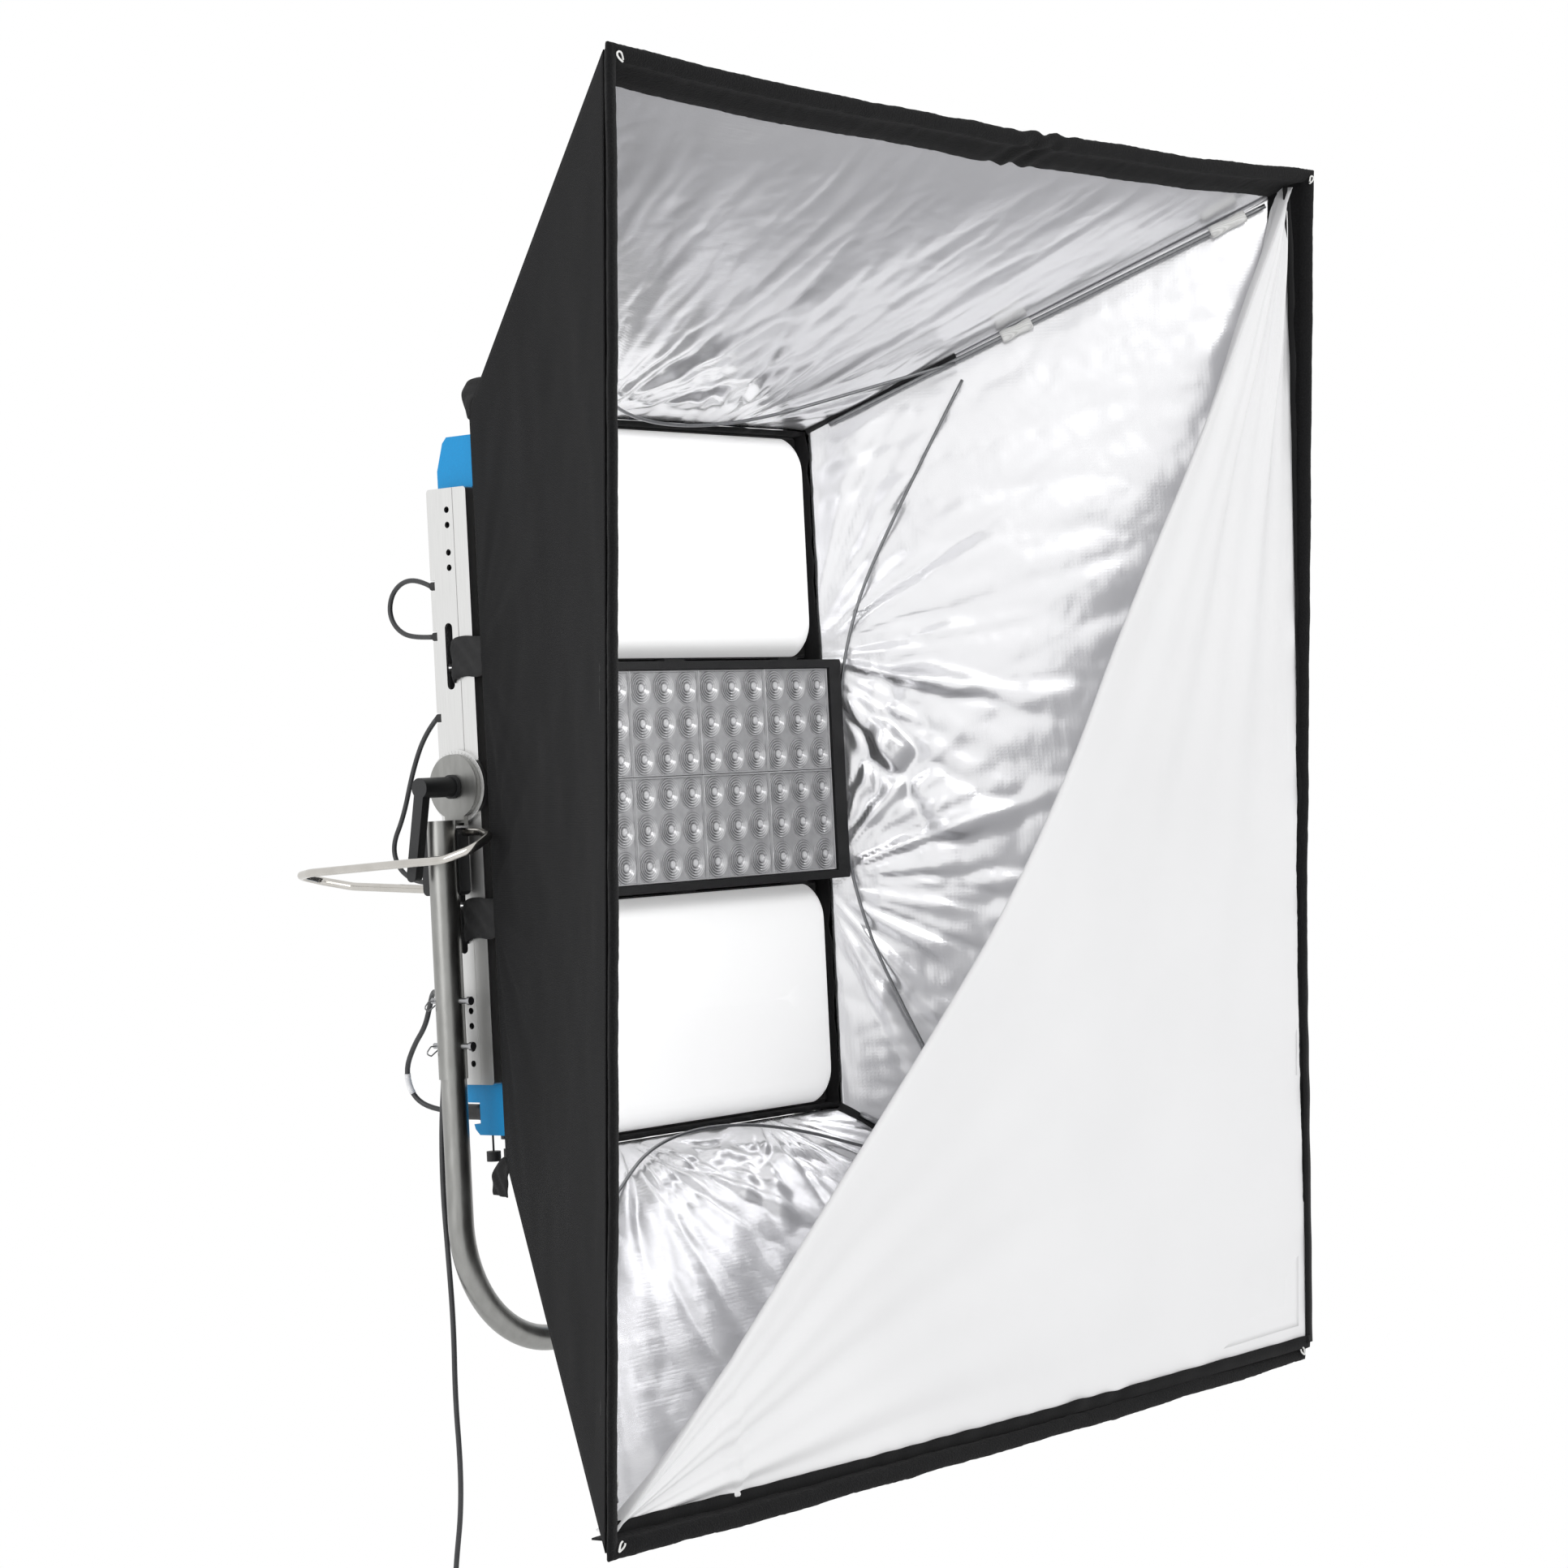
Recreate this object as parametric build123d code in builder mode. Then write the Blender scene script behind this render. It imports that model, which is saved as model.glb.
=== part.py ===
from build123d import *
import math
import os

# Three-module studio light panel in a folding softbox, carried by a tubular yoke.
# Origin: the shoulder of the spigot, on the spigot's axis. +Z is up and the light shines towards -Y.
# All sizes are in millimetres.

os.makedirs("parts", exist_ok=True)

# ---- driving dimensions -------------------------------------------------------------------
PIVOT_Z = 800.0  # height of the tilt axis above the spigot shoulder; the axis lies at y = 0
CLEAR = 0.3  # gap between pieces of different bodies
SEAT = 0.05  # radial clearance of a shaft in its bore

MODULE_PITCH = 333.0  # three light modules, one above the other
MODULE_H = 331.0
PANEL_W = 650.0
HOUSING_FRONT_Y = -89.0
HOUSING_BACK_Y = -38.0
HOUSING_WALL = 3.0
MODULE_Z = [PIVOT_Z - MODULE_PITCH, PIVOT_Z, PIVOT_Z + MODULE_PITCH]

LENS_CELL = 150.0  # one moulded lens plate, three lenses by three
LENS_COLS = 4
LENS_ROWS = 2
LENS_FACE_Y = -149.0
LENS_PLATE_T = 8.0
LENS_FRAME_W = 656.0
LENS_FRAME_H = 325.0

DOME_W = 648.0
DOME_H = 326.0
DOME_CORNER = 45.0
DOME_RISE = 36.0

RAIL_X = 345.0  # outer face of each side rail
RAIL_T = 4.0
RAIL_DEPTH = 74.0
RAIL_FLANGE = 17.0
RAIL_H = 824.0
RAIL_HOLE_R = 4.5
# Heights of the rail's holes above the pivot, in pairs 21 apart.
RAIL_HOLES = (382.0, 361.0, 323.0, 302.0, -310.0, -331.0, -362.0, -383.0)

DISC_R = 51.0  # graduated tilt disc on each rail
DISC_T = 6.0
PLATE_R = 44.5  # yoke end plate that clamps against the disc
PLATE_T = 8.0
BOLT_R = 6.0
LEVER_X = 412.0  # inner face of the clamp lever's arm
LEVER_T = 14.0

ARM_X = 386.0  # centre of each yoke arm
BOW_R = 18.0  # tube of the bow
SLEEVE_R = 20.15
SLEEVE_TOP = 750.0
SLEEVE_BOTTOM = 400.0
BAR_Z = 20.0  # centre of the bow's bottom bar
BEND_R = 185.0
TUBE_WALL = 2.0
SPIGOT_R = 14.0
SPIGOT_LENGTH = 80.0

RING_Y = -57.0  # back ring of the bag, where its walls start
RING_HALF_W = 347.0
RING_HALF_H = 512.0
FRONT_Y = -664.0  # centre of the bag's front frame
FRONT_Z = 765.0
FRONT_HALF_W = 796.0
FRONT_HALF_H = 891.0
DROOP = 3.67  # the front frame hangs forward at its top by this many degrees
WALL_T = 3.0  # cloth and lining together
SEAM_GAP = 0.4
ROLL_R = 9.0  # padded roll along the front edge
BAND_DEPTH = 50.0  # pile band behind the roll

CORD_D = 7.5
LINK_D = 7.0
NOTCH_Z = (1079.0, 1009.0, 896.0, 670.0)  # where link cables pass the left rail's rear edge


# ---- helpers -------------------------------------------------------------------------------
def save(part, name):
    part.label = name
    export_step(part, f"parts/{name}.step")


def facing_front(y, z=PIVOT_Z):
    """A plane whose x is +X, whose y is +Z, and whose normal looks towards the light's front."""
    return Plane(origin=(0, y, z), x_dir=(1, 0, 0), z_dir=(0, -1, 0))


def facing_side(x, sign, z=PIVOT_Z):
    """A plane at +-x whose normal points outward along X. Its local x runs along Y."""
    return Plane(origin=(sign * x, 0, z), x_dir=(0, sign, 0), z_dir=(sign, 0, 0))


# ---- lens unit -----------------------------------------------------------------------------
with BuildPart() as lens_frame:
    with BuildSketch(facing_front(HOUSING_FRONT_Y - 1)):
        RectangleRounded(LENS_FRAME_W, LENS_FRAME_H, 4)
    extrude(amount=HOUSING_FRONT_Y - 1 - (LENS_FACE_Y - 4))
    with BuildSketch(facing_front(LENS_FACE_Y - 4)):
        Rectangle(LENS_COLS * LENS_CELL + 1, LENS_ROWS * LENS_CELL + 1)
    extrude(amount=-(LENS_PLATE_T + 5), mode=Mode.SUBTRACT)
    with BuildSketch(facing_front(LENS_FACE_Y)):
        Rectangle(LENS_COLS * LENS_CELL - 12, LENS_ROWS * LENS_CELL - 12)
    extrude(amount=-80, mode=Mode.SUBTRACT)
save(lens_frame.part, "lens_frame")

# Each plate of the array is clear plastic with nine round ringed lenses on its face.
with BuildPart() as lens_array:
    with BuildSketch(facing_front(LENS_FACE_Y + LENS_PLATE_T)):
        with GridLocations(LENS_CELL, LENS_CELL, LENS_COLS, LENS_ROWS):
            Rectangle(LENS_CELL - 0.6, LENS_CELL - 0.6)
    extrude(amount=LENS_PLATE_T - 3)
    with BuildSketch(facing_front(LENS_FACE_Y + 3)):
        with GridLocations(LENS_CELL / 3, LENS_CELL / 3, 3 * LENS_COLS, 3 * LENS_ROWS):
            Circle(LENS_CELL / 6 - 1)
    extrude(amount=3, taper=10)
save(lens_array.part, "lens_array")

with BuildPart() as lens_brackets:
    with BuildSketch(facing_front(HOUSING_FRONT_Y)):
        with GridLocations(260, LENS_FRAME_H + 6.4, 3, 2):
            Rectangle(44, 6)
    extrude(amount=18)
save(lens_brackets.part, "lens_brackets")

# ---- light modules ---------------------------------------------------------------------------
# Each module is a folded sheet tray, open at the front, with a board of LEDs on its floor.
trays = []
boards = []
for z in MODULE_Z:
    with BuildPart() as housing:
        with BuildSketch(facing_front(HOUSING_BACK_Y, z)):
            RectangleRounded(PANEL_W, MODULE_H, 6)
        extrude(amount=HOUSING_BACK_Y - HOUSING_FRONT_Y)
        front = housing.faces().sort_by(Axis.Y)[0]
        offset(amount=-HOUSING_WALL, openings=front)
    trays.append(housing.part)

    with BuildPart() as led_board:
        with BuildSketch(facing_front(HOUSING_BACK_Y - HOUSING_WALL - CLEAR, z)):
            Rectangle(PANEL_W - 20, MODULE_H - 20)
        extrude(amount=2)
        with BuildSketch(facing_front(HOUSING_BACK_Y - HOUSING_WALL - CLEAR - 2, z)):
            with GridLocations(LENS_CELL / 3, LENS_CELL / 3, 12, 6):
                Circle(5)
        extrude(amount=3)
    boards.append(led_board.part)
save(Compound(children=trays), "housings")
save(Compound(children=boards), "led_boards")

with BuildPart() as domes:
    for z in (MODULE_Z[0], MODULE_Z[2]):
        with BuildSketch(facing_front(HOUSING_FRONT_Y - CLEAR, z)):
            RectangleRounded(DOME_W, DOME_H, DOME_CORNER)
        extrude(amount=DOME_RISE, taper=24)
        with BuildSketch(facing_front(HOUSING_FRONT_Y - CLEAR, z)):
            RectangleRounded(DOME_W - 7, DOME_H - 7, DOME_CORNER - 3.5)
        extrude(amount=DOME_RISE - 3, taper=24, mode=Mode.SUBTRACT)
save(domes.part, "domes")

# ---- rear of the panel -----------------------------------------------------------------------
BAY_Z = [PIVOT_Z - 289.0, PIVOT_Z, PIVOT_Z + 289.0]  # centres of the three rear bays
BAY_H = [245.0, 329.0, 245.0]
SINK_W = 236.0
SINK_H = 220.0
SINK_BASE = 6.0
SINK_FIN = 24.0
FAN_R = 56.0
FAN_DEPTH = 25.0
SINK_Y = HOUSING_BACK_Y + CLEAR
FAN_Y = SINK_Y + SINK_BASE + SINK_FIN + CLEAR
COVER_BACK_Y = 33.0

with BuildPart() as heat_sinks:
    for z in BAY_Z:
        with BuildSketch(facing_front(SINK_Y + SINK_BASE, z)):
            Rectangle(SINK_W, SINK_H)
        extrude(amount=SINK_BASE)
        with BuildSketch(facing_front(SINK_Y + SINK_BASE + SINK_FIN, z)):
            with GridLocations(12, 0, 20, 1):
                Rectangle(2, SINK_H)
        extrude(amount=SINK_FIN)
save(heat_sinks.part, "heat_sinks")

with BuildPart() as fan_frames:
    for z in BAY_Z:
        with BuildSketch(facing_front(FAN_Y + FAN_DEPTH, z)):
            RectangleRounded(120, 120, 6)
            Circle(FAN_R + 1.5, mode=Mode.SUBTRACT)
            Rectangle(120, 7)
            Circle(19)
            Circle(3 + SEAT, mode=Mode.SUBTRACT)
        extrude(amount=3)
        with BuildSketch(facing_front(FAN_Y + FAN_DEPTH - 3, z)):
            RectangleRounded(120, 120, 6)
            Circle(FAN_R + 1.5, mode=Mode.SUBTRACT)
        extrude(amount=FAN_DEPTH - 3)
save(fan_frames.part, "fan_frames")

for label, z in zip(("bottom", "middle", "top"), BAY_Z):
    with BuildPart() as rotor:
        with BuildSketch(facing_front(FAN_Y + FAN_DEPTH - 4, z)):
            Circle(20)
        extrude(amount=17)
        with BuildSketch(facing_front(FAN_Y + FAN_DEPTH - 5, z)):
            with PolarLocations(37, 7):
                Rectangle(36, 15, rotation=38)
            Circle(FAN_R, mode=Mode.INTERSECT)
        extrude(amount=12)
        with BuildSketch(facing_front(FAN_Y + FAN_DEPTH - 0.5, z)):
            Circle(3)
        extrude(amount=4)
    save(rotor.part, f"fan_rotor_{label}")

# Each rear cover is a folded sheet box, open to the front, with a round fan opening.
covers = []
for z, height in zip(BAY_Z, BAY_H):
    with BuildPart() as cover:
        with BuildSketch(facing_front(COVER_BACK_Y, z)):
            RectangleRounded(PANEL_W, height, 6)
        extrude(amount=COVER_BACK_Y - HOUSING_BACK_Y - CLEAR)
        offset(amount=-1.5, openings=cover.faces().sort_by(Axis.Y)[0])
        with BuildSketch(facing_front(COVER_BACK_Y + 1, z)):
            Circle(FAN_R)
            with GridLocations(470, 14, 2, 9):
                SlotOverall(90, 6)
            if z == PIVOT_Z:
                # Window behind the control panel.
                with Locations((150, 110)):
                    Rectangle(120, 54)
        extrude(amount=4, mode=Mode.SUBTRACT)
    covers.append(cover.part)
save(Compound(children=covers), "rear_covers")

with BuildPart() as fan_grilles:
    for z in BAY_Z:
        with BuildSketch(facing_front(COVER_BACK_Y + 2.2, z)):
            for ring in (15, 29, 43, 57):
                Circle(ring)
                Circle(ring - 2, mode=Mode.SUBTRACT)
            for turn in (45, 135):
                Rectangle(2 * 62, 3, rotation=turn)
        extrude(amount=2)
save(fan_grilles.part, "fan_grilles")

# The power supply and the control board sit beside the middle module's heat sink.
with BuildPart() as power_supply:
    with BuildSketch(facing_front(-2, PIVOT_Z)):
        with Locations((-215, 0)):
            RectangleRounded(150, 270, 3)
    extrude(amount=35)
save(power_supply.part, "power_supply")

with BuildPart() as control_board:
    with BuildSketch(facing_front(-20, PIVOT_Z)):
        with Locations((215, 0)):
            Rectangle(150, 270)
    extrude(amount=2)
    with BuildSketch(facing_front(-12, PIVOT_Z)):
        with Locations((180, -60), (235, -30), (250, 60), (190, -110)):
            Rectangle(26, 26)
    extrude(amount=8)
save(control_board.part, "control_board")

PANEL_Y = COVER_BACK_Y + 3
with BuildPart() as control_panel:
    with BuildSketch(facing_front(PANEL_Y, PIVOT_Z + 110)):
        with Locations((150, 0)):
            RectangleRounded(132, 62, 5)
            with Locations((-26, 4)):
                Rectangle(56, 34, mode=Mode.SUBTRACT)
            with Locations((40, 8)):
                Circle(4 + SEAT, mode=Mode.SUBTRACT)
            with Locations((-44, -21), (-26, -21), (-8, -21)):
                Circle(4.5 + CLEAR, mode=Mode.SUBTRACT)
    extrude(amount=2.8)
save(control_panel.part, "control_panel")

with BuildPart() as display:
    with BuildSketch(facing_front(PANEL_Y - 0.6, PIVOT_Z + 110)):
        with Locations((124, 4)):
            Rectangle(55.4, 33.4)
    extrude(amount=6)
save(display.part, "display")

with BuildPart() as control_knob:
    with BuildSketch(facing_front(PANEL_Y + 12, PIVOT_Z + 110)):
        with Locations((190, 8)):
            Circle(13)
    extrude(amount=12 - CLEAR)
    chamfer(control_knob.faces().sort_by(Axis.Y)[-1].edges(), 1.2)
    with BuildSketch(facing_front(PANEL_Y + CLEAR, PIVOT_Z + 110)):
        with Locations((190, 8)):
            Circle(4)
    extrude(amount=8)
save(control_knob.part, "control_knob")

for number, x in enumerate((106, 124, 142), start=1):
    with BuildPart() as button:
        with BuildSketch(facing_front(PANEL_Y + 2.5, PIVOT_Z + 110)):
            with Locations((x, -21)):
                Circle(4.5)
        extrude(amount=7)
    save(button.part, f"button_{number}")

# ---- rails, end caps and sockets ---------------------------------------------------------------
# A side rail is a channel: a web with holes, slots and rear notches, and two flanges inward.
rails = []
for sign in (-1, 1):
    with BuildPart() as rail:
        with BuildSketch(facing_side(RAIL_X, sign)):
            RectangleRounded(RAIL_DEPTH, RAIL_H, 5)
        extrude(amount=-RAIL_FLANGE)
        with BuildSketch(facing_side(RAIL_X - RAIL_T, sign)):
            Rectangle(RAIL_DEPTH - 2 * RAIL_T, RAIL_H - 2 * RAIL_T)
        extrude(amount=-RAIL_FLANGE, mode=Mode.SUBTRACT)
        # The sketch's local x runs along Y on the right rail and against it on the left one.
        with BuildSketch(facing_side(RAIL_X + 1, sign)):
            Circle(BOLT_R + SEAT)
            with Locations(*[(0, z) for z in RAIL_HOLES]):
                Circle(RAIL_HOLE_R)
            with Locations((sign * 7, 180), (sign * 7, -185)):
                SlotOverall(92, 14, rotation=90)
        extrude(amount=-(RAIL_T + 1.5), mode=Mode.SUBTRACT)
        with BuildSketch(facing_side(RAIL_X + 1, sign)):
            with Locations(*[(sign * RAIL_DEPTH / 2, z - PIVOT_Z) for z in NOTCH_Z]):
                Rectangle(16, 14)
        extrude(amount=-(RAIL_FLANGE + 2), mode=Mode.SUBTRACT)
        with BuildSketch(facing_side(RAIL_X, sign)):
            with Locations((-sign * 12, 0)):
                Rectangle(1.6, RAIL_H - 1)
        extrude(amount=-0.8, mode=Mode.SUBTRACT)
    rails.append(rail.part)
save(Compound(children=rails), "side_rails")

CAP_LOW = RAIL_H / 2 + CLEAR  # the end caps close the rear body beyond the rails
CAP_HIGH = 484.0
caps = []
for sign in (1, -1):
    with BuildPart() as end_cap:
        with BuildSketch(Plane.YZ.offset(-PANEL_W / 2 + 1)):
            with BuildLine():
                Polyline(
                    (34.0, PIVOT_Z + sign * CAP_LOW),
                    (34.0, PIVOT_Z + sign * (CAP_HIGH - 46)),
                    (22.0, PIVOT_Z + sign * (CAP_HIGH - 8)),
                    (14.0, PIVOT_Z + sign * CAP_HIGH),
                    (-36.0, PIVOT_Z + sign * CAP_HIGH),
                    (-36.0, PIVOT_Z + sign * CAP_LOW),
                    close=True,
                )
            make_face()
        extrude(amount=PANEL_W - 2)
        with BuildSketch(Plane.YZ.offset(-PANEL_W / 2 + 5)):
            with Locations((-2, PIVOT_Z + sign * (CAP_LOW + 30))):
                Rectangle(56, 52)
        extrude(amount=PANEL_W - 10, mode=Mode.SUBTRACT)
        if sign < 0:
            # Recess at the left rear corner for the power inlet.
            with BuildSketch(Plane.YZ.offset(-PANEL_W / 2)):
                with Locations((24, 346)):
                    Rectangle(24, 30)
            extrude(amount=52, mode=Mode.SUBTRACT)
    caps.append(end_cap.part)
save(Compound(children=caps), "end_caps")

# The locking inlet points backwards out of the lower cap's recess.
INLET_X = -305.0
INLET_Z = 346.0
SOCKET_X = (-290.0, -255.0, -220.0)
CAP_BOTTOM = PIVOT_Z - CAP_HIGH
with BuildPart() as sockets:
    with BuildSketch(facing_front(26, INLET_Z)):
        with Locations((INLET_X, 0)):
            Circle(12)
    extrude(amount=26)
    # Three data sockets face down under the cap.
    with BuildSketch(Plane.XY.offset(CAP_BOTTOM - 8)):
        with Locations(*[(x, -8) for x in SOCKET_X]):
            Circle(11)
    extrude(amount=7.7)
save(sockets.part, "sockets")

# Their rubber caps hang beside them.
with BuildPart() as dust_caps:
    for x in SOCKET_X:
        with BuildSketch(Plane.XY.offset(CAP_BOTTOM - 40)):
            with Locations((x, 22)):
                Circle(10)
        extrude(amount=14)
        with BuildSketch(Plane.XY.offset(CAP_BOTTOM - 26)):
            with Locations((x, 22)):
                Circle(1.5)
        extrude(amount=25.7)
save(dust_caps.part, "dust_caps")

with BuildPart() as tilt_discs:
    for sign in (-1, 1):
        with BuildSketch(facing_side(RAIL_X, sign)):
            Circle(DISC_R)
            Circle(BOLT_R + SEAT, mode=Mode.SUBTRACT)
        extrude(amount=DISC_T)
        # Degree marks round the rim.
        with BuildSketch(facing_side(RAIL_X + DISC_T, sign)):
            with PolarLocations(DISC_R - 3.5, 48):
                Rectangle(4, 0.8)
        extrude(amount=-0.4, mode=Mode.SUBTRACT)
save(tilt_discs.part, "tilt_discs")

# ---- bag --------------------------------------------------------------------------------------
droop = math.radians(DROOP)


def ring_plane(share):
    """The plane of the bag's cross-section at a share of the way from the back ring to the front,
    with the half width and half height of the cloth's inside there."""
    up_back = Vector(0, 0, RING_HALF_H)
    up_front = Vector(0, -math.sin(droop), math.cos(droop)) * FRONT_HALF_H
    up = up_back * (1 - share) + up_front * share
    centre = Vector(0, RING_Y, PIVOT_Z) * (1 - share) + Vector(0, FRONT_Y, FRONT_Z) * share
    half_w = RING_HALF_W * (1 - share) + FRONT_HALF_W * share
    normal = Vector(1, 0, 0).cross(up)
    return Plane(origin=centre, x_dir=(1, 0, 0), z_dir=normal), half_w, up.length


def strip_corners(side, half_w, half_h, inner, outer, gap):
    """The four corners of a thin strip along one side of a cross-section, from inner to outer
    distance outside the cloth's inside, mitred at both ends."""
    flip = -1 if side in ("left", "bottom") else 1
    if side in ("left", "right"):
        return [
            (flip * (half_w + inner), half_h + inner - gap),
            (flip * (half_w + inner), -(half_h + inner - gap)),
            (flip * (half_w + outer), -(half_h + outer - gap)),
            (flip * (half_w + outer), half_h + outer - gap),
        ]
    return [
        (half_w + inner - gap, flip * (half_h + inner)),
        (-(half_w + inner - gap), flip * (half_h + inner)),
        (-(half_w + outer - gap), flip * (half_h + outer)),
        (half_w + outer - gap, flip * (half_h + outer)),
    ]


def panel(side, near, far, inner, outer, gap=SEAM_GAP):
    """A mitred strip of cloth on one side of the bag, lofted between two shares of its depth."""
    with BuildPart() as strip:
        for share in (near, far):
            plane, half_w, half_h = ring_plane(share)
            with BuildSketch(plane):
                with BuildLine():
                    Polyline(*strip_corners(side, half_w, half_h, inner, outer, gap), close=True)
                make_face()
        loft(ruled=True)
    return strip.part


SIDES = ("top", "right", "bottom", "left")
BAND_SHARE = BAND_DEPTH / math.hypot(FRONT_HALF_W - RING_HALF_W, RING_Y - FRONT_Y)
for side in SIDES:
    save(panel(side, 0, 1 - 0.018, 0, WALL_T), f"wall_{side}")

# The border is a padded roll round a rod pocket, with a band of pile behind it.
front_plane, front_w, front_h = ring_plane(1)
ROLL_W = front_w - 6.0
ROLL_H = front_h - 6.0
ROD_R = 3.0


def edge_run(side, trim):
    """The two ends of a front edge, in the front plane, each pulled back by trim."""
    if side in ("left", "right"):
        x = ROLL_W if side == "right" else -ROLL_W
        return (x, ROLL_H - trim), (x, -(ROLL_H - trim))
    z = ROLL_H if side == "top" else -ROLL_H
    return (-(ROLL_W - trim), z), (ROLL_W - trim, z)


def edge_plane(side, trim):
    """A plane across a front edge at its first end, and the length of the run."""
    a, b = (front_plane.from_local_coords(Vector(*p, 0)) for p in edge_run(side, trim))
    return Plane(origin=a, z_dir=b - a), (b - a).length


border_pieces = []
for side in SIDES:
    trim = 0 if side in ("top", "bottom") else ROLL_R + 1
    with BuildPart() as roll:
        plane, run = edge_plane(side, trim)
        with BuildSketch(plane):
            Circle(ROLL_R)
            Circle(ROD_R + 0.4, mode=Mode.SUBTRACT)
        extrude(amount=run)
    border_pieces.append(roll.part)
    border_pieces.append(panel(side, 1 - BAND_SHARE, 1 - 0.02, -4.5, -0.4, gap=0.6))
save(Compound(children=border_pieces), "front_border")

with BuildPart() as bag_collar:
    with BuildSketch(facing_front(-50)):
        Rectangle(2 * 344, 2 * 509)
        Rectangle(2 * 329, 2 * 500, mode=Mode.SUBTRACT)
    extrude(amount=50)
save(bag_collar.part, "bag_collar")


def inside_point(share, across, up, inset):
    """A point inside the bag: across and up are shares of the half sizes, less an inset."""
    plane, half_w, half_h = ring_plane(share)
    return plane.from_local_coords(Vector(across * (half_w - inset), up * (half_h - inset), 0))


# A rod lies in each front roll, and a spring rod along each corner seam in two sewn sleeves.
CORNERS = ((1, 1), (1, -1), (-1, -1), (-1, 1))
CORNER_ROD_R = 3.5
SLEEVE_SPANS = ((0.36, 0.43), (0.81, 0.88))
with BuildPart() as frame_rods:
    for side in SIDES:
        plane, run = edge_plane(side, ROLL_R + 3)
        with BuildSketch(plane):
            Circle(ROD_R)
        extrude(amount=run)
    for across, up in CORNERS:
        a = inside_point(0.09, across, up, 16)
        b = inside_point(0.93, across, up, 24)
        with BuildSketch(Plane(origin=a, z_dir=b - a)):
            Circle(CORNER_ROD_R)
        extrude(amount=(b - a).length)
save(frame_rods.part, "frame_rods")

with BuildPart() as rod_sleeves:
    for across, up in CORNERS:
        a = inside_point(0.09, across, up, 16)
        b = inside_point(0.93, across, up, 24)
        for near, far in SLEEVE_SPANS:
            start = a + (b - a) * near
            with BuildSketch(Plane(origin=start, z_dir=b - a)):
                Circle(CORNER_ROD_R + 3)
                Circle(CORNER_ROD_R + SEAT, mode=Mode.SUBTRACT)
            extrude(amount=(b - a).length * (far - near))
save(rod_sleeves.part, "rod_sleeves")

# Each wall has one thin hoop that bows from seam to seam and holds the cloth open.
HOOP_R = 2.5
with BuildPart() as wall_hoops:
    for side in SIDES:
        flip = -1 if side in ("left", "bottom") else 1
        ends = []
        for share, along in ((0.33, -1), (0.09, -0.42), (0.045, 0), (0.09, 0.42), (0.33, 1)):
            plane, half_w, half_h = ring_plane(share)
            if side in ("left", "right"):
                place = Vector(flip * (half_w - 14), along * (half_h - 40), 0)
            else:
                place = Vector(along * (half_w - 40), flip * (half_h - 14), 0)
            ends.append(plane.from_local_coords(place))
        with BuildLine() as hoop_line:
            FilletPolyline(*ends, radius=140)
        with BuildSketch(Plane(origin=ends[0], z_dir=ends[1] - ends[0])):
            Circle(HOOP_R)
        sweep(path=hoop_line.wires()[0])
save(wall_hoops.part, "wall_hoops")

# The diffuser cloth is hooked along the right and bottom edges and folded back on the diagonal.
DIFFUSER_SETBACK = 22.0
diffuser_plane = front_plane.offset(-DIFFUSER_SETBACK)
CLOTH_W = front_w - 30
CLOTH_H = front_h - 30
with BuildPart() as diffuser_cloth:
    with BuildSketch(diffuser_plane):
        with BuildLine():
            Polyline((-CLOTH_W + 10, -CLOTH_H), (CLOTH_W, -CLOTH_H), (CLOTH_W, CLOTH_H - 10))
            ThreePointArc((CLOTH_W, CLOTH_H - 10), (100, -90), (-CLOTH_W + 10, -CLOTH_H))
        make_face()
    extrude(amount=4, both=True)
save(diffuser_cloth.part, "diffuser_cloth")

EDGE_SHARE = 1 - 0.8 * BAND_SHARE
edge_strips = [panel(side, EDGE_SHARE, 1 - 0.022, -9, -5, gap=2) for side in ("right", "bottom")]
save(Compound(children=edge_strips), "diffuser_border")

# Hook-and-loop straps run from the bag's back ring over the rails and through their slots.
with BuildPart() as bag_straps:
    for sign in (-1, 1):
        for z in (960, 618):
            with BuildSketch(facing_side(RAIL_X + CLEAR, sign, z)):
                with Locations((-sign * 24, 0)):
                    Rectangle(64, 54)
            extrude(amount=2)
    for x in (-160, 160):
        for sign in (-1, 1):
            with BuildSketch(Plane.XY.offset(PIVOT_Z + sign * 510)):
                with Locations((x, -18)):
                    Rectangle(50, 60)
            extrude(amount=sign * 2)
save(bag_straps.part, "bag_straps")

# ---- yoke -------------------------------------------------------------------------------------
BOW_TOP = 560.0
PIN_Z = (507.0, 445.0)
PIN_R = 4.0
with BuildPart() as yoke_bow:
    with BuildLine() as bow_line:
        FilletPolyline(
            (-ARM_X, 0, BOW_TOP),
            (-ARM_X, 0, BAR_Z),
            (ARM_X, 0, BAR_Z),
            (ARM_X, 0, BOW_TOP),
            radius=BEND_R,
        )
    with BuildSketch(Plane(origin=(-ARM_X, 0, BOW_TOP), z_dir=(0, 0, -1))):
        Circle(BOW_R)
        Circle(BOW_R - TUBE_WALL, mode=Mode.SUBTRACT)
    sweep(path=bow_line.wires()[0])
    for sign in (-1, 1):
        with Locations(*[Pos(sign * ARM_X, 0, z) * Rot(90, 0, 0) for z in PIN_Z]):
            Cylinder(PIN_R + 0.2, 60, mode=Mode.SUBTRACT)
    with Locations((0, 0, BAR_Z)):
        Cylinder(BOLT_R, 60, mode=Mode.SUBTRACT)
save(yoke_bow.part, "yoke_bow")

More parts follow.
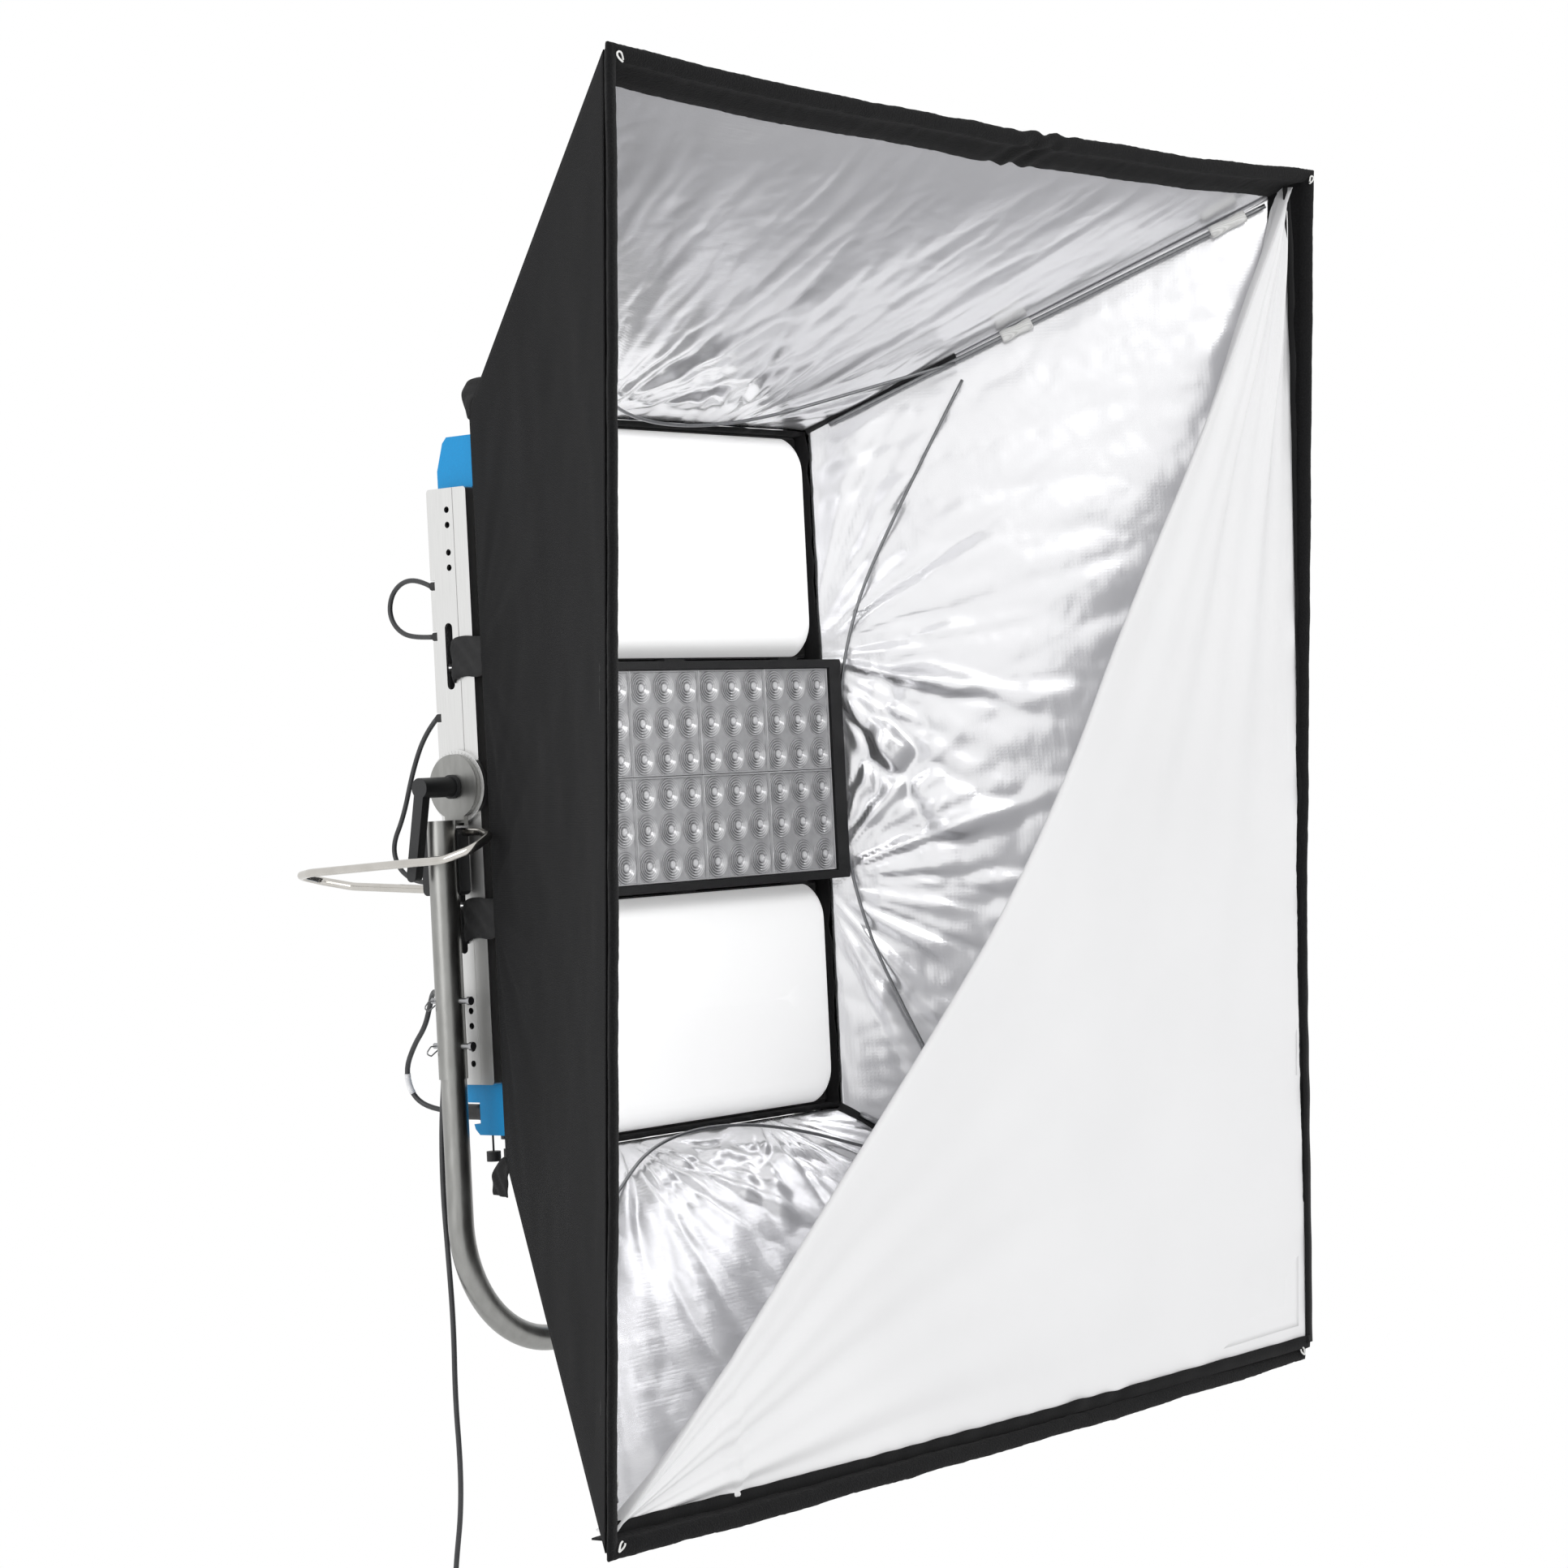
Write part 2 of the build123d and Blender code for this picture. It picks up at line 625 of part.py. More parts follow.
with BuildPart() as yoke_sleeves:
    for sign in (-1, 1):
        with BuildSketch(Plane.XY.offset(SLEEVE_BOTTOM)):
            with Locations((sign * ARM_X, 0)):
                Circle(SLEEVE_R)
                Circle(BOW_R + SEAT, mode=Mode.SUBTRACT)
        extrude(amount=SLEEVE_TOP - SLEEVE_BOTTOM)
        with Locations(*[Pos(sign * ARM_X, 0, z) * Rot(90, 0, 0) for z in PIN_Z]):
            Cylinder(PIN_R + 0.2, 60, mode=Mode.SUBTRACT)
save(yoke_sleeves.part, "yoke_sleeves")

# Each end plate is a disc whose tab runs down to a cap welded on the sleeve.
PLATE_X = RAIL_X + DISC_T + CLEAR
with BuildPart() as yoke_plates:
    for sign in (-1, 1):
        with BuildSketch(facing_side(PLATE_X, sign)):
            Circle(PLATE_R)
            with Locations((0, -27)):
                Rectangle(36, 54)
            Circle(BOLT_R + SEAT, mode=Mode.SUBTRACT)
        extrude(amount=PLATE_T)
        with BuildSketch(Plane.XY.offset(SLEEVE_TOP)):
            with Locations((sign * ARM_X, 0)):
                Circle(SLEEVE_R)
            with Locations((sign * (PLATE_X + 15), 0)):
                Rectangle(30, 36)
        extrude(amount=4)
        with BuildSketch(Plane.XY.offset(SLEEVE_TOP - 20)):
            with Locations((sign * ARM_X, 0)):
                Circle(BOW_R)
        extrude(amount=20)
save(yoke_plates.part, "yoke_plates")

# Each pivot bolt's head sits inside the rail, and its end is held in the lever's hub.
with BuildPart() as tilt_bolts:
    for sign in (-1, 1):
        with BuildSketch(facing_side(RAIL_X - RAIL_T - CLEAR - 5, sign)):
            Circle(11)
        extrude(amount=5)
        with BuildSketch(facing_side(RAIL_X - RAIL_T - CLEAR, sign)):
            Circle(BOLT_R)
        extrude(amount=40)
save(tilt_bolts.part, "tilt_bolts")

# A ratchet clamp lever on each side: a stepped hub and a tapering arm that hangs down.
hub_x = PLATE_X + PLATE_T + CLEAR
for side, sign in (("left", -1), ("right", 1)):
    with BuildPart() as lever:
        with BuildSketch(facing_side(hub_x, sign)):
            Circle(16.5)
        extrude(amount=6)
        with BuildSketch(facing_side(hub_x + 6, sign)):
            Circle(14)
        extrude(amount=LEVER_X + LEVER_T - hub_x - 6)
        with BuildSketch(facing_side(LEVER_X, sign)):
            with Locations((sign * 12, -62)):
                SlotOverall(134, 17, rotation=90 + sign * 11)
        extrude(amount=LEVER_T)
        with BuildSketch(facing_side(hub_x, sign)):
            Circle(BOLT_R + SEAT)
        extrude(amount=24, mode=Mode.SUBTRACT)
    save(lever.part, f"tilt_lever_{side}")

# Through pins lock each sleeve on the bow; a spring clip passes through each pin's tail.
PIN_FRONT = -40.0
PIN_TAIL = 33.0
CLIP_Y = 27.0
with BuildPart() as clevis_pins:
    for sign in (-1, 1):
        for z in PIN_Z:
            with BuildSketch(facing_front(PIN_TAIL, z)):
                with Locations((sign * ARM_X, 0)):
                    Circle(PIN_R)
            extrude(amount=PIN_TAIL - PIN_FRONT)
            with BuildSketch(facing_front(PIN_FRONT + 5, z)):
                with Locations((sign * ARM_X, 0)):
                    Circle(6)
            extrude(amount=5)
            with Locations(Pos(sign * ARM_X, CLIP_Y, z) * Rot(0, 90, 0)):
                Cylinder(1.1, 12, mode=Mode.SUBTRACT)
save(clevis_pins.part, "clevis_pins")

for side, sign in (("left", -1), ("right", 1)):
    for level, z in zip(("upper", "lower"), PIN_Z):
        x = sign * ARM_X
        with BuildPart() as clip:
            with BuildLine() as clip_line:
                FilletPolyline(
                    (x - sign * 7, CLIP_Y, z),
                    (x + sign * 14, CLIP_Y, z),
                    (x + sign * 24, CLIP_Y, z - 9),
                    (x + sign * 14, CLIP_Y, z - 13),
                    (x, CLIP_Y, z - 5.6),
                    (x - sign * 6, CLIP_Y, z - 8),
                    radius=3,
                )
            with BuildSketch(Plane(origin=(x - sign * 7, CLIP_Y, z), z_dir=(sign, 0, 0))):
                Circle(1)
            sweep(path=clip_line.wires()[0])
        save(clip.part, f"pin_clip_{side}_{level}")

# A polished bar bends into a loop round each arm and ends in a saddle block inside it.
HANDLE_R = 5.8
HANDLE_ROUTE = (
    (365, -24, 737),
    (372, -60, 737),
    (397, -99, 731),
    (433, -103, 716),
    (448, -62, 702),
    (448, 196, 690),
    (430, 236, 686),
    (390, 236, 677),
    (370, 192, 667),
    (367, 52, 660),
)
HANDLE_BENDS = (45, 18, 18, 45, 30, 18, 18, 30)
with BuildPart() as handles:
    for sign in (-1, 1):
        route = [(sign * x, y, z) for x, y, z in HANDLE_ROUTE]
        with BuildLine() as handle_line:
            FilletPolyline(*route, radius=HANDLE_BENDS)
        with BuildSketch(Plane(origin=route[0], z_dir=Vector(*route[1]) - Vector(*route[0]))):
            Circle(HANDLE_R)
        sweep(path=handle_line.wires()[0])
save(handles.part, "handles")

with BuildPart() as handle_blocks:
    for sign in (-1, 1):
        with BuildSketch(facing_side(PLATE_X + 5, sign)):
            with Locations((sign * 14, -103)):
                RectangleRounded(71, 92, 8)
        extrude(amount=20)
        with BuildSketch(Plane.XY.offset(SLEEVE_BOTTOM)):
            with Locations((sign * ARM_X, 0)):
                Circle(SLEEVE_R + SEAT)
        extrude(amount=SLEEVE_TOP - SLEEVE_BOTTOM + 10, mode=Mode.SUBTRACT)
save(handle_blocks.part, "handle_blocks")

# The spigot's saddle cradles the bow's bottom bar, and a bolt holds it from above.
with BuildPart() as spigot:
    with BuildSketch(Plane.XY):
        RectangleRounded(92, 46, 8)
    extrude(amount=15)
    with BuildSketch(Plane.YZ.offset(-60)):
        with Locations((0, BAR_Z)):
            Circle(BOW_R + SEAT)
    extrude(amount=120, mode=Mode.SUBTRACT)
    with BuildSketch(Plane.XY.offset(-SPIGOT_LENGTH)):
        Circle(SPIGOT_R)
    extrude(amount=SPIGOT_LENGTH)
    chamfer(spigot.faces().sort_by(Axis.Z)[0].edges(), 1.5)
    with BuildSketch(Plane.XY.offset(-40)):
        Circle(5)
    extrude(amount=60, mode=Mode.SUBTRACT)
save(spigot.part, "spigot")

with BuildPart() as spigot_bolt:
    with BuildSketch(Plane.XY.offset(-36)):
        Circle(5 - SEAT)
    extrude(amount=36 + BAR_Z + BOW_R + 1)
    with BuildSketch(Plane.XY.offset(BAR_Z + BOW_R + 0.5)):
        RegularPolygon(9, 6)
    extrude(amount=7)
save(spigot_bolt.part, "spigot_bolt")

# ---- cables -------------------------------------------------------------------------------------
with BuildPart() as cable_glands:
    with BuildSketch(facing_front(43)):
        with Locations(*[(-336, z - PIVOT_Z) for z in NOTCH_Z]):
            Circle(6)
    extrude(amount=13)
save(cable_glands.part, "cable_glands")


def turn_radii(route):
    """The radius of each corner: 0.45 of its shorter run over the tangent of half the turn."""
    radii = []
    for before, at, after in zip(route, route[1:], route[2:]):
        run_in = Vector(*at) - Vector(*before)
        run_out = Vector(*after) - Vector(*at)
        half_turn = math.radians(run_in.get_angle(run_out)) / 2
        radii.append(0.45 * min(run_in.length, run_out.length) / math.tan(half_turn))
    return radii


def cord_tube(route, diameter, name):
    """A tube along the route; it prints the radii and compares the volume with the length."""
    radii = turn_radii(route)
    with BuildPart() as tube:
        with BuildLine() as line:
            FilletPolyline(*route, radius=radii)
        with BuildSketch(Plane(origin=route[0], z_dir=Vector(*route[1]) - Vector(*route[0]))):
            Circle(diameter / 2)
        sweep(path=line.wires()[0])
    length = line.wires()[0].length
    ratio = tube.part.volume / (math.pi * diameter**2 / 4 * length)
    print(name, "radii", [round(r) for r in radii], f"length {length:.0f} volume ratio {ratio:.3f}")
    save(tube.part, name)
    return length


LINK_TOP_ROUTE = [
    (-336, 44.5, 1079),
    (-336, 68, 1090),
    (-335, 100, 1090),
    (-334, 124, 1073),
    (-334, 130, 1046),
    (-334, 116, 1023),
    (-335, 86, 1010),
    (-336, 44.5, 1009),
]
cord_tube(LINK_TOP_ROUTE, LINK_D, "link_cable_top")

LINK_MIDDLE_ROUTE = [
    (-336, 45.5, 896),
    (-336, 70, 876),
    (-335, 98, 826),
    (-334, 121, 762),
    (-334, 146, 722),
    (-334, 137, 690),
    (-334, 110, 672),
    (-335, 75, 667),
    (-336, 44.5, 670),
]
cord_tube(LINK_MIDDLE_ROUTE, LINK_D, "link_cable_middle")

LEAD_ROUTE = [
    (INLET_X, 80, INLET_Z),
    (-307, 118, 348),
    (-314, 150, 366),
    (-320, 156, 404),
    (-325, 132, 440),
    (-330, 104, 466),
    (-331, 92, 494),
    (-343, 73, 517),
    (-361, 46, 517),
    (-373, 27, 494),
    (-374, 27, 458),
    (-376, 28, 400),
    (-383, 31, 330),
    (-384, 33, 240),
    (-386, 27, 160),
    (-384, 25, 60),
    (-385, 28, -40),
    (-386, 23, -130),
    (-385, 28, -200),
    (-386, 39, -260),
    (-389, 42, -300),
    (-391, 42, -322.0),
]
lead_length = cord_tube(LEAD_ROUTE, CORD_D, "supply_lead")

# The lead runs down into the side of the coil, and its tail leaves downwards on the same side.
COIL_R = 45.0
COIL_THICK = 13.5
COIL_Y = -3.0
COIL_Z = -364.5
with BuildPart() as supply_lead_coil:
    with Locations(Pos(-385, COIL_Y, COIL_Z) * Rot(0, 90, 0)):
        Torus(COIL_R, COIL_THICK)
save(supply_lead_coil.part, "supply_lead_coil")
COIL_TURNS = 7
print("lead in all", round(lead_length + COIL_TURNS * 2 * math.pi * COIL_R))

# Locking connector on the lamp's inlet: a ribbed barrel and a strain relief.
with BuildPart() as lead_connector:
    with BuildSketch(facing_front(60, INLET_Z)):
        with Locations((INLET_X, 0)):
            Circle(11)
    extrude(amount=60 - 26.3)
    with BuildSketch(facing_front(79, INLET_Z)):
        with Locations((INLET_X, 0)):
            Circle(6)
    extrude(amount=19)
save(lead_connector.part, "lead_connector")

# The mains plug hangs below the coil, pins down.
PLUG_TOP = -409.5
with BuildPart() as mains_plug:
    with BuildSketch(Plane.XY.offset(PLUG_TOP - 20)):
        with Locations((-385, 42)):
            Circle(6)
    extrude(amount=20)
    with BuildSketch(Plane.XY.offset(PLUG_TOP - 20)):
        with Locations((-385, 42)):
            Circle(15)
    extrude(amount=-34, taper=-6)
    with BuildSketch(Plane.XY.offset(PLUG_TOP - 54)):
        with Locations((-385, 32.5), (-385, 51.5)):
            Circle(2.4)
    extrude(amount=-19)
save(mains_plug.part, "mains_plug")
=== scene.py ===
import bpy
import math
from mathutils import Matrix, Vector, noise


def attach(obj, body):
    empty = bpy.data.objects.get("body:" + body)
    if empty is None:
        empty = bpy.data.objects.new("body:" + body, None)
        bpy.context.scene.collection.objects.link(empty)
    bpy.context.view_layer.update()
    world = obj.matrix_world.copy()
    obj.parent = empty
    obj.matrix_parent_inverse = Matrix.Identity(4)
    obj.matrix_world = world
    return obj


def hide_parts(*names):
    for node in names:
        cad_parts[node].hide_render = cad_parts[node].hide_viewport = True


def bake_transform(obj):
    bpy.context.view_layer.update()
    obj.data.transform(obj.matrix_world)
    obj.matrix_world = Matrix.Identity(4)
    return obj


# A three-module studio light panel in a flared folding softbox, on a tubular tilting yoke.
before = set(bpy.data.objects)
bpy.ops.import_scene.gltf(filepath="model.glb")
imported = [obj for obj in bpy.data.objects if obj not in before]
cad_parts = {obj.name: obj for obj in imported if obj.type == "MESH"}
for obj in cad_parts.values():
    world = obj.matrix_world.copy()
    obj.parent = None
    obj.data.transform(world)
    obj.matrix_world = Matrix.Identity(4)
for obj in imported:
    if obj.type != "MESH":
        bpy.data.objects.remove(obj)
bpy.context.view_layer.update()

# ---- camera ------------------------------------------------------------------------------------
# A long lens, level with the lamp, looks into the bag from its left.
camera_data = bpy.data.cameras.new("camera")
camera_data.lens = 87.62
camera_data.sensor_width = 36.0
camera_data.clip_end = 60.0
camera = bpy.data.objects.new("camera", camera_data)
bpy.context.collection.objects.link(camera)
view_right = Vector((0.6224, -0.7811, -0.0491)).normalized()
view_back = Vector((-0.782, -0.6232, 0.0019)).normalized()
view_up = view_back.cross(view_right).normalized()
view_back = view_right.cross(view_up)
turn = Matrix((view_right, view_up, view_back)).transposed().to_4x4()
camera.matrix_world = Matrix.Translation((-4.1827, -3.6295, 0.7914)) @ turn
bpy.context.scene.camera = camera


# ---- supply lead and link cables ---------------------------------------------------------------
# Round PVC-sheathed cables. The supply lead leaves the inlet at the lower left, hangs past the yoke
# and ends in a tied coil with its mains plug; two short link cables join the modules at the left rail.
def linear(hex_colour):
    """An sRGB hex colour as a linear RGBA value."""
    channels = [int(hex_colour[i : i + 2], 16) / 255 for i in (1, 3, 5)]
    return [c / 12.92 if c <= 0.04045 else ((c + 0.055) / 1.055) ** 2.4 for c in channels] + [1.0]


def add(tree, kind, settings=None, links=None):
    """Adds a node, sets its properties and sockets, and links its inputs from (node, output)."""
    made = tree.nodes.new(kind)
    for name, value in (settings or {}).items():
        if isinstance(name, int) or name in made.inputs:
            made.inputs[name].default_value = value
        else:
            setattr(made, name, value)
    for name, (source, output) in (links or {}).items():
        tree.links.new(source.outputs[output], made.inputs[name])
    return made


def material(name, colour, **sockets):
    """A material whose Principled shader has this base colour and these socket values."""
    made = bpy.data.materials.new(name)
    made.use_nodes = True
    shader = made.node_tree.nodes["Principled BSDF"]
    shader.inputs["Base Color"].default_value = linear(colour)
    for socket, value in sockets.items():
        shader.inputs[socket.replace("_", " ")].default_value = value
    return made, made.node_tree, shader


def relief(tree, shader, source, output, distance, strength=1.0):
    """Lets a pattern's height raise the surface by a distance in metres."""
    bump = add(
        tree,
        "ShaderNodeBump",
        {"Distance": distance, "Strength": strength},
        {"Height": (source, output)},
    )
    tree.links.new(bump.outputs["Normal"], shader.inputs["Normal"])
    return bump


def mottle(tree, shader, source, output, dark, light):
    """Spreads the base colour between two hex colours by a pattern."""
    blend = add(
        tree,
        "ShaderNodeMix",
        {"data_type": "RGBA", 6: linear(dark), 7: linear(light)},
        {0: (source, output)},
    )
    tree.links.new(blend.outputs[2], shader.inputs["Base Color"])


def place(tree):
    """The piece's own coordinates in metres."""
    return add(tree, "ShaderNodeTexCoord")


def new_piece(name, vertices, faces, finish, smooth=True):
    """A mesh object at the origin with one finish."""
    mesh = bpy.data.meshes.new(name)
    mesh.from_pydata([tuple(v) for v in vertices], [], faces)
    mesh.validate()
    mesh.update()
    for polygon in mesh.polygons:
        polygon.use_smooth = smooth
    mesh.materials.append(finish)
    made = bpy.data.objects.new(name, mesh)
    bpy.context.collection.objects.link(made)
    return made


def route_points(points, resolution=6):
    """The points of one NURBS spline of order 3 through a route given in metres."""
    curve = bpy.data.curves.new("route", "CURVE")
    curve.dimensions = "3D"
    spline = curve.splines.new("NURBS")
    spline.points.add(len(points) - 1)
    for at, point in zip(spline.points, points):
        at.co = (*point, 1.0)
    spline.order_u = 3
    spline.use_endpoint_u = True
    spline.resolution_u = resolution
    holder = bpy.data.objects.new("route", curve)
    bpy.context.collection.objects.link(holder)
    bpy.context.view_layer.update()
    mesh = bpy.data.meshes.new_from_object(
        holder.evaluated_get(bpy.context.evaluated_depsgraph_get())
    )
    path = [v.co.copy() for v in mesh.vertices]
    bpy.data.objects.remove(holder)
    bpy.data.meshes.remove(mesh)
    return path


def ring_quads(base, rows, ring, inward_first=False):
    """Quads between neighbouring closed rings of points."""
    quads = []
    for i in range(rows):
        for k in range(ring):
            n = (k + 1) % ring
            near, far = base + i * ring, base + (i + 1) * ring
            if inward_first:
                quads.append((near + k, far + k, far + n, near + n))
            else:
                quads.append((near + k, near + n, far + n, far + k))
    return quads


def tube(path, radius, sides=20, radius_at=None):
    """Vertices and faces of a closed round tube along a path."""
    vertices = []
    faces = []
    across = None
    count = len(path)
    for i, point in enumerate(path):
        along = (path[min(i + 1, count - 1)] - path[max(i - 1, 0)]).normalized()
        if across is None:
            across = along.orthogonal().normalized()
        across = (across - along * across.dot(along)).normalized()
        other = along.cross(across)
        r = radius_at(i / (count - 1)) * radius if radius_at else radius
        for k in range(sides):
            a = 2 * math.pi * k / sides
            vertices.append(point + (across * math.cos(a) + other * math.sin(a)) * r)
    faces.extend(ring_quads(0, count - 1, sides))
    faces.append(tuple(reversed(range(sides))))
    faces.append(tuple(range((count - 1) * sides, count * sides)))
    return vertices, faces


def grained_finish(tree, shader, scale, detail, dark, pale, depth):
    """Fine grain over a finish: uneven colour, and the same grain raised a little."""
    spots = add(
        tree,
        "ShaderNodeTexNoise",
        {"Scale": scale, "Detail": detail},
        {"Vector": (place(tree), "Object")},
    )
    mottle(tree, shader, spots, "Fac", dark, pale)
    relief(tree, shader, spots, "Fac", depth)


# Soft PVC: dark grey, slightly dusty, with a faint satin gloss.
cable_pvc, tree, shader = material("pvc_cable_sheath", "#2e2f31", Roughness=0.42)
grained_finish(tree, shader, 60.0, 5.0, "#242527", "#3c3d3f", 0.0002)

LINK_D = 0.007
LINK_TOP = [
    (-0.336, 0.0445, 1.079),
    (-0.336, 0.068, 1.090),
    (-0.335, 0.100, 1.090),
    (-0.334, 0.124, 1.073),
    (-0.334, 0.130, 1.046),
    (-0.334, 0.116, 1.023),
    (-0.335, 0.086, 1.010),
    (-0.336, 0.0445, 1.009),
]
LINK_MIDDLE = [
    (-0.336, 0.0455, 0.896),
    (-0.336, 0.070, 0.876),
    (-0.335, 0.098, 0.826),
    (-0.334, 0.121, 0.762),
    (-0.334, 0.146, 0.722),
    (-0.334, 0.137, 0.690),
    (-0.334, 0.110, 0.672),
    (-0.335, 0.075, 0.667),
    (-0.336, 0.0445, 0.670),
]


def path_length(path):
    return sum((b - a).length for a, b in zip(path, path[1:]))


for name, route in (("link_cable_top", LINK_TOP), ("link_cable_middle", LINK_MIDDLE)):
    path = route_points(route, 8)
    link = new_piece(f"{name}_sheath", *tube(path, LINK_D / 2), cable_pvc)
    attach(link, "head")
    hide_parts(name)

LEAD_D = 0.0075
LEAD = [
    (-0.305, 0.080, 0.346),
    (-0.307, 0.118, 0.348),
    (-0.314, 0.150, 0.366),
    (-0.320, 0.156, 0.404),
    (-0.325, 0.132, 0.440),
    (-0.330, 0.104, 0.466),
    (-0.331, 0.092, 0.494),
    (-0.343, 0.073, 0.517),
    (-0.361, 0.046, 0.517),
    (-0.373, 0.027, 0.494),
    (-0.374, 0.027, 0.458),
    (-0.376, 0.028, 0.400),
    (-0.383, 0.031, 0.330),
    (-0.384, 0.033, 0.240),
    (-0.386, 0.027, 0.160),
    (-0.384, 0.025, 0.060),
    (-0.385, 0.028, -0.040),
    (-0.386, 0.023, -0.130),
    (-0.385, 0.028, -0.200),
    (-0.386, 0.039, -0.260),
    (-0.389, 0.042, -0.300),
    (-0.3965, 0.042, -0.330),
]
# The unseen length is tied in seven turns that lie in and round one another.
COIL_Y = -0.003
COIL_Z = -0.3645
COIL_R = 0.0458
TURN_PITCH = 0.0085
TURN_STEPS = 16
turn_places = [(0, -1), (-0.866, -0.5), (-0.866, 0.5), (0, 0), (0.866, -0.5), (0.866, 0.5), (0, 1)]
for number, (outward, sideways) in enumerate(turn_places):
    after = turn_places[min(number + 1, len(turn_places) - 1)]
    for step in range(TURN_STEPS):
        share = step / TURN_STEPS
        ease = max(0.0, (share - 0.7) / 0.3)
        out = (outward * (1 - ease) + after[0] * ease) * TURN_PITCH
        side = (sideways * (1 - ease) + after[1] * ease) * TURN_PITCH
        angle = -2 * math.pi * share
        LEAD.append(
            (
                -0.385 + side,
                COIL_Y + (COIL_R + out) * math.cos(angle),
                COIL_Z + (COIL_R + out) * math.sin(angle),
            )
        )
LEAD += [
    (-0.3745, COIL_Y + COIL_R, COIL_Z - 0.002),
    (-0.3735, 0.0425, -0.385),
    (-0.3765, 0.042, -0.403),
    (-0.383, 0.042, -0.416),
    (-0.385, 0.042, -0.428),
]
lead_path = route_points(LEAD, 5)
# The lead is one cable, made as two meshes that meet at the top of its loop, behind the yoke arm.
# Nothing clamps it there. The loop is one fixed mesh, not bent as the head tilts.
MEETING = Vector((-0.352, 0.0595, 0.517))
meet_at = min(range(len(lead_path)), key=lambda i: (lead_path[i] - MEETING).length)
upper_path = lead_path[: meet_at + 1]
lower_path = lead_path[meet_at:]
lead_loop = new_piece("supply_lead_loop", *tube(upper_path, LEAD_D / 2, 16), cable_pvc)
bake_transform(lead_loop)

# A plain, unmarked sleeve of shrunk clear plastic sits on the outermost bend of the loop.
shrink_sleeve, tree, shader = material("clear_shrink_sleeve", "#d6d7d9", Roughness=0.22, Coat_Weight=0.3)
grained_finish(tree, shader, 90.0, 3.0, "#bfc0c3", "#ececee", 0.0002)
SLEEVE_AT = Vector((-0.317, 0.154, 0.386))
SLEEVE_HALF = 0.018  # reach along the lead either side of its middle
SLEEVE_WALL = 0.0007
sleeve_path = [point for point in upper_path if (point - SLEEVE_AT).length < SLEEVE_HALF]
marker_sleeve = new_piece(
    "lead_marker_sleeve", *tube(sleeve_path, LEAD_D / 2 + SLEEVE_WALL, 16), shrink_sleeve
)
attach(marker_sleeve, "head")
supply_lead = new_piece("supply_lead_sheath", *tube(lower_path, LEAD_D / 2, 16), cable_pvc)
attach(supply_lead, "yoke")
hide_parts("supply_lead", "supply_lead_coil")

# A hook-and-loop tie holds the coil's turns at the top.
tie_black, tree, shader = material("woven_nylon_tie", "#141415", Roughness=0.85, Sheen_Weight=0.05)
tape = add(tree, "ShaderNodeTexNoise", {"Scale": 900.0}, {"Vector": (place(tree), "Object")})
relief(tree, shader, tape, "Fac", 0.0003)
TIE_W = 0.02
tie_rings = []
tie_faces = []
TIE_SIDES = 28
for i, (x_share, wall) in enumerate(((-0.5, 0.0), (-0.5, 0.0016), (0.5, 0.0016), (0.5, 0.0))):
    for k in range(TIE_SIDES):
        a = 2 * math.pi * k / TIE_SIDES
        radius = 0.0138 + wall
        tie_rings.append(
            (
                -0.385 + math.cos(a) * radius,
                COIL_Y + x_share * TIE_W,
                COIL_Z + COIL_R + math.sin(a) * radius,
            )
        )
for i in range(4):
    for k in range(TIE_SIDES):
        n = (k + 1) % TIE_SIDES
        j = (i + 1) % 4
        tie_faces.append((i * TIE_SIDES + k, i * TIE_SIDES + n, j * TIE_SIDES + n, j * TIE_SIDES + k))
lead_tie = new_piece("lead_tie", tie_rings, tie_faces, tie_black)
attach(lead_tie, "yoke")

# The moulded plug's strain relief is a ribbed taper on the lead.
plug_rubber, tree, shader = material("moulded_plug_rubber", "#161617", Roughness=0.55)
skin = add(tree, "ShaderNodeTexNoise", {"Scale": 500.0}, {"Vector": (place(tree), "Object")})
relief(tree, shader, skin, "Fac", 0.0002)
boot_path = [Vector((-0.385, 0.042, -0.4285 + 0.024 * i / 30)) for i in range(31)]


def boot_radius(share):
    return 1.0 - 0.28 * share + (0.06 if int(share * 12) % 2 else -0.04)


plug_boot = new_piece(
    "plug_boot", *tube(boot_path[:28], 0.0062, 20, lambda s: boot_radius(s)), plug_rubber
)
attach(plug_boot, "yoke")


def dress(finish, *nodes):
    """Gives CAD nodes a finish."""
    for node in nodes:
        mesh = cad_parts[node].data
        mesh.materials.clear()
        mesh.materials.append(finish)


dress(plug_rubber, "mains_plug", "lead_connector", "cable_glands", "dust_caps")

# ---- bag: shape --------------------------------------------------------------------------------
# The bag flares from a ring behind the panel's face to a large front frame that droops a little.
# Each wall is a cloth trapezium held out by a spring rod in each corner seam.
RING = Vector((0, -0.057, 0.800))
RING_W = 0.347
RING_H = 0.512
FRONT = Vector((0, -0.664, 0.765))
FRONT_W = 0.796
FRONT_H = 0.891
DROOP = math.radians(3.67)
UP_FRONT = Vector((0, -math.sin(DROOP), math.cos(DROOP)))
SLANT = 0.755
EDGE_DIP = {"top": 0.016, "right": 0.003, "bottom": -0.006, "left": 0.003}
SIDES = ("top", "right", "bottom", "left")


LINING_RING = Vector((0, -0.1005, 0.800))


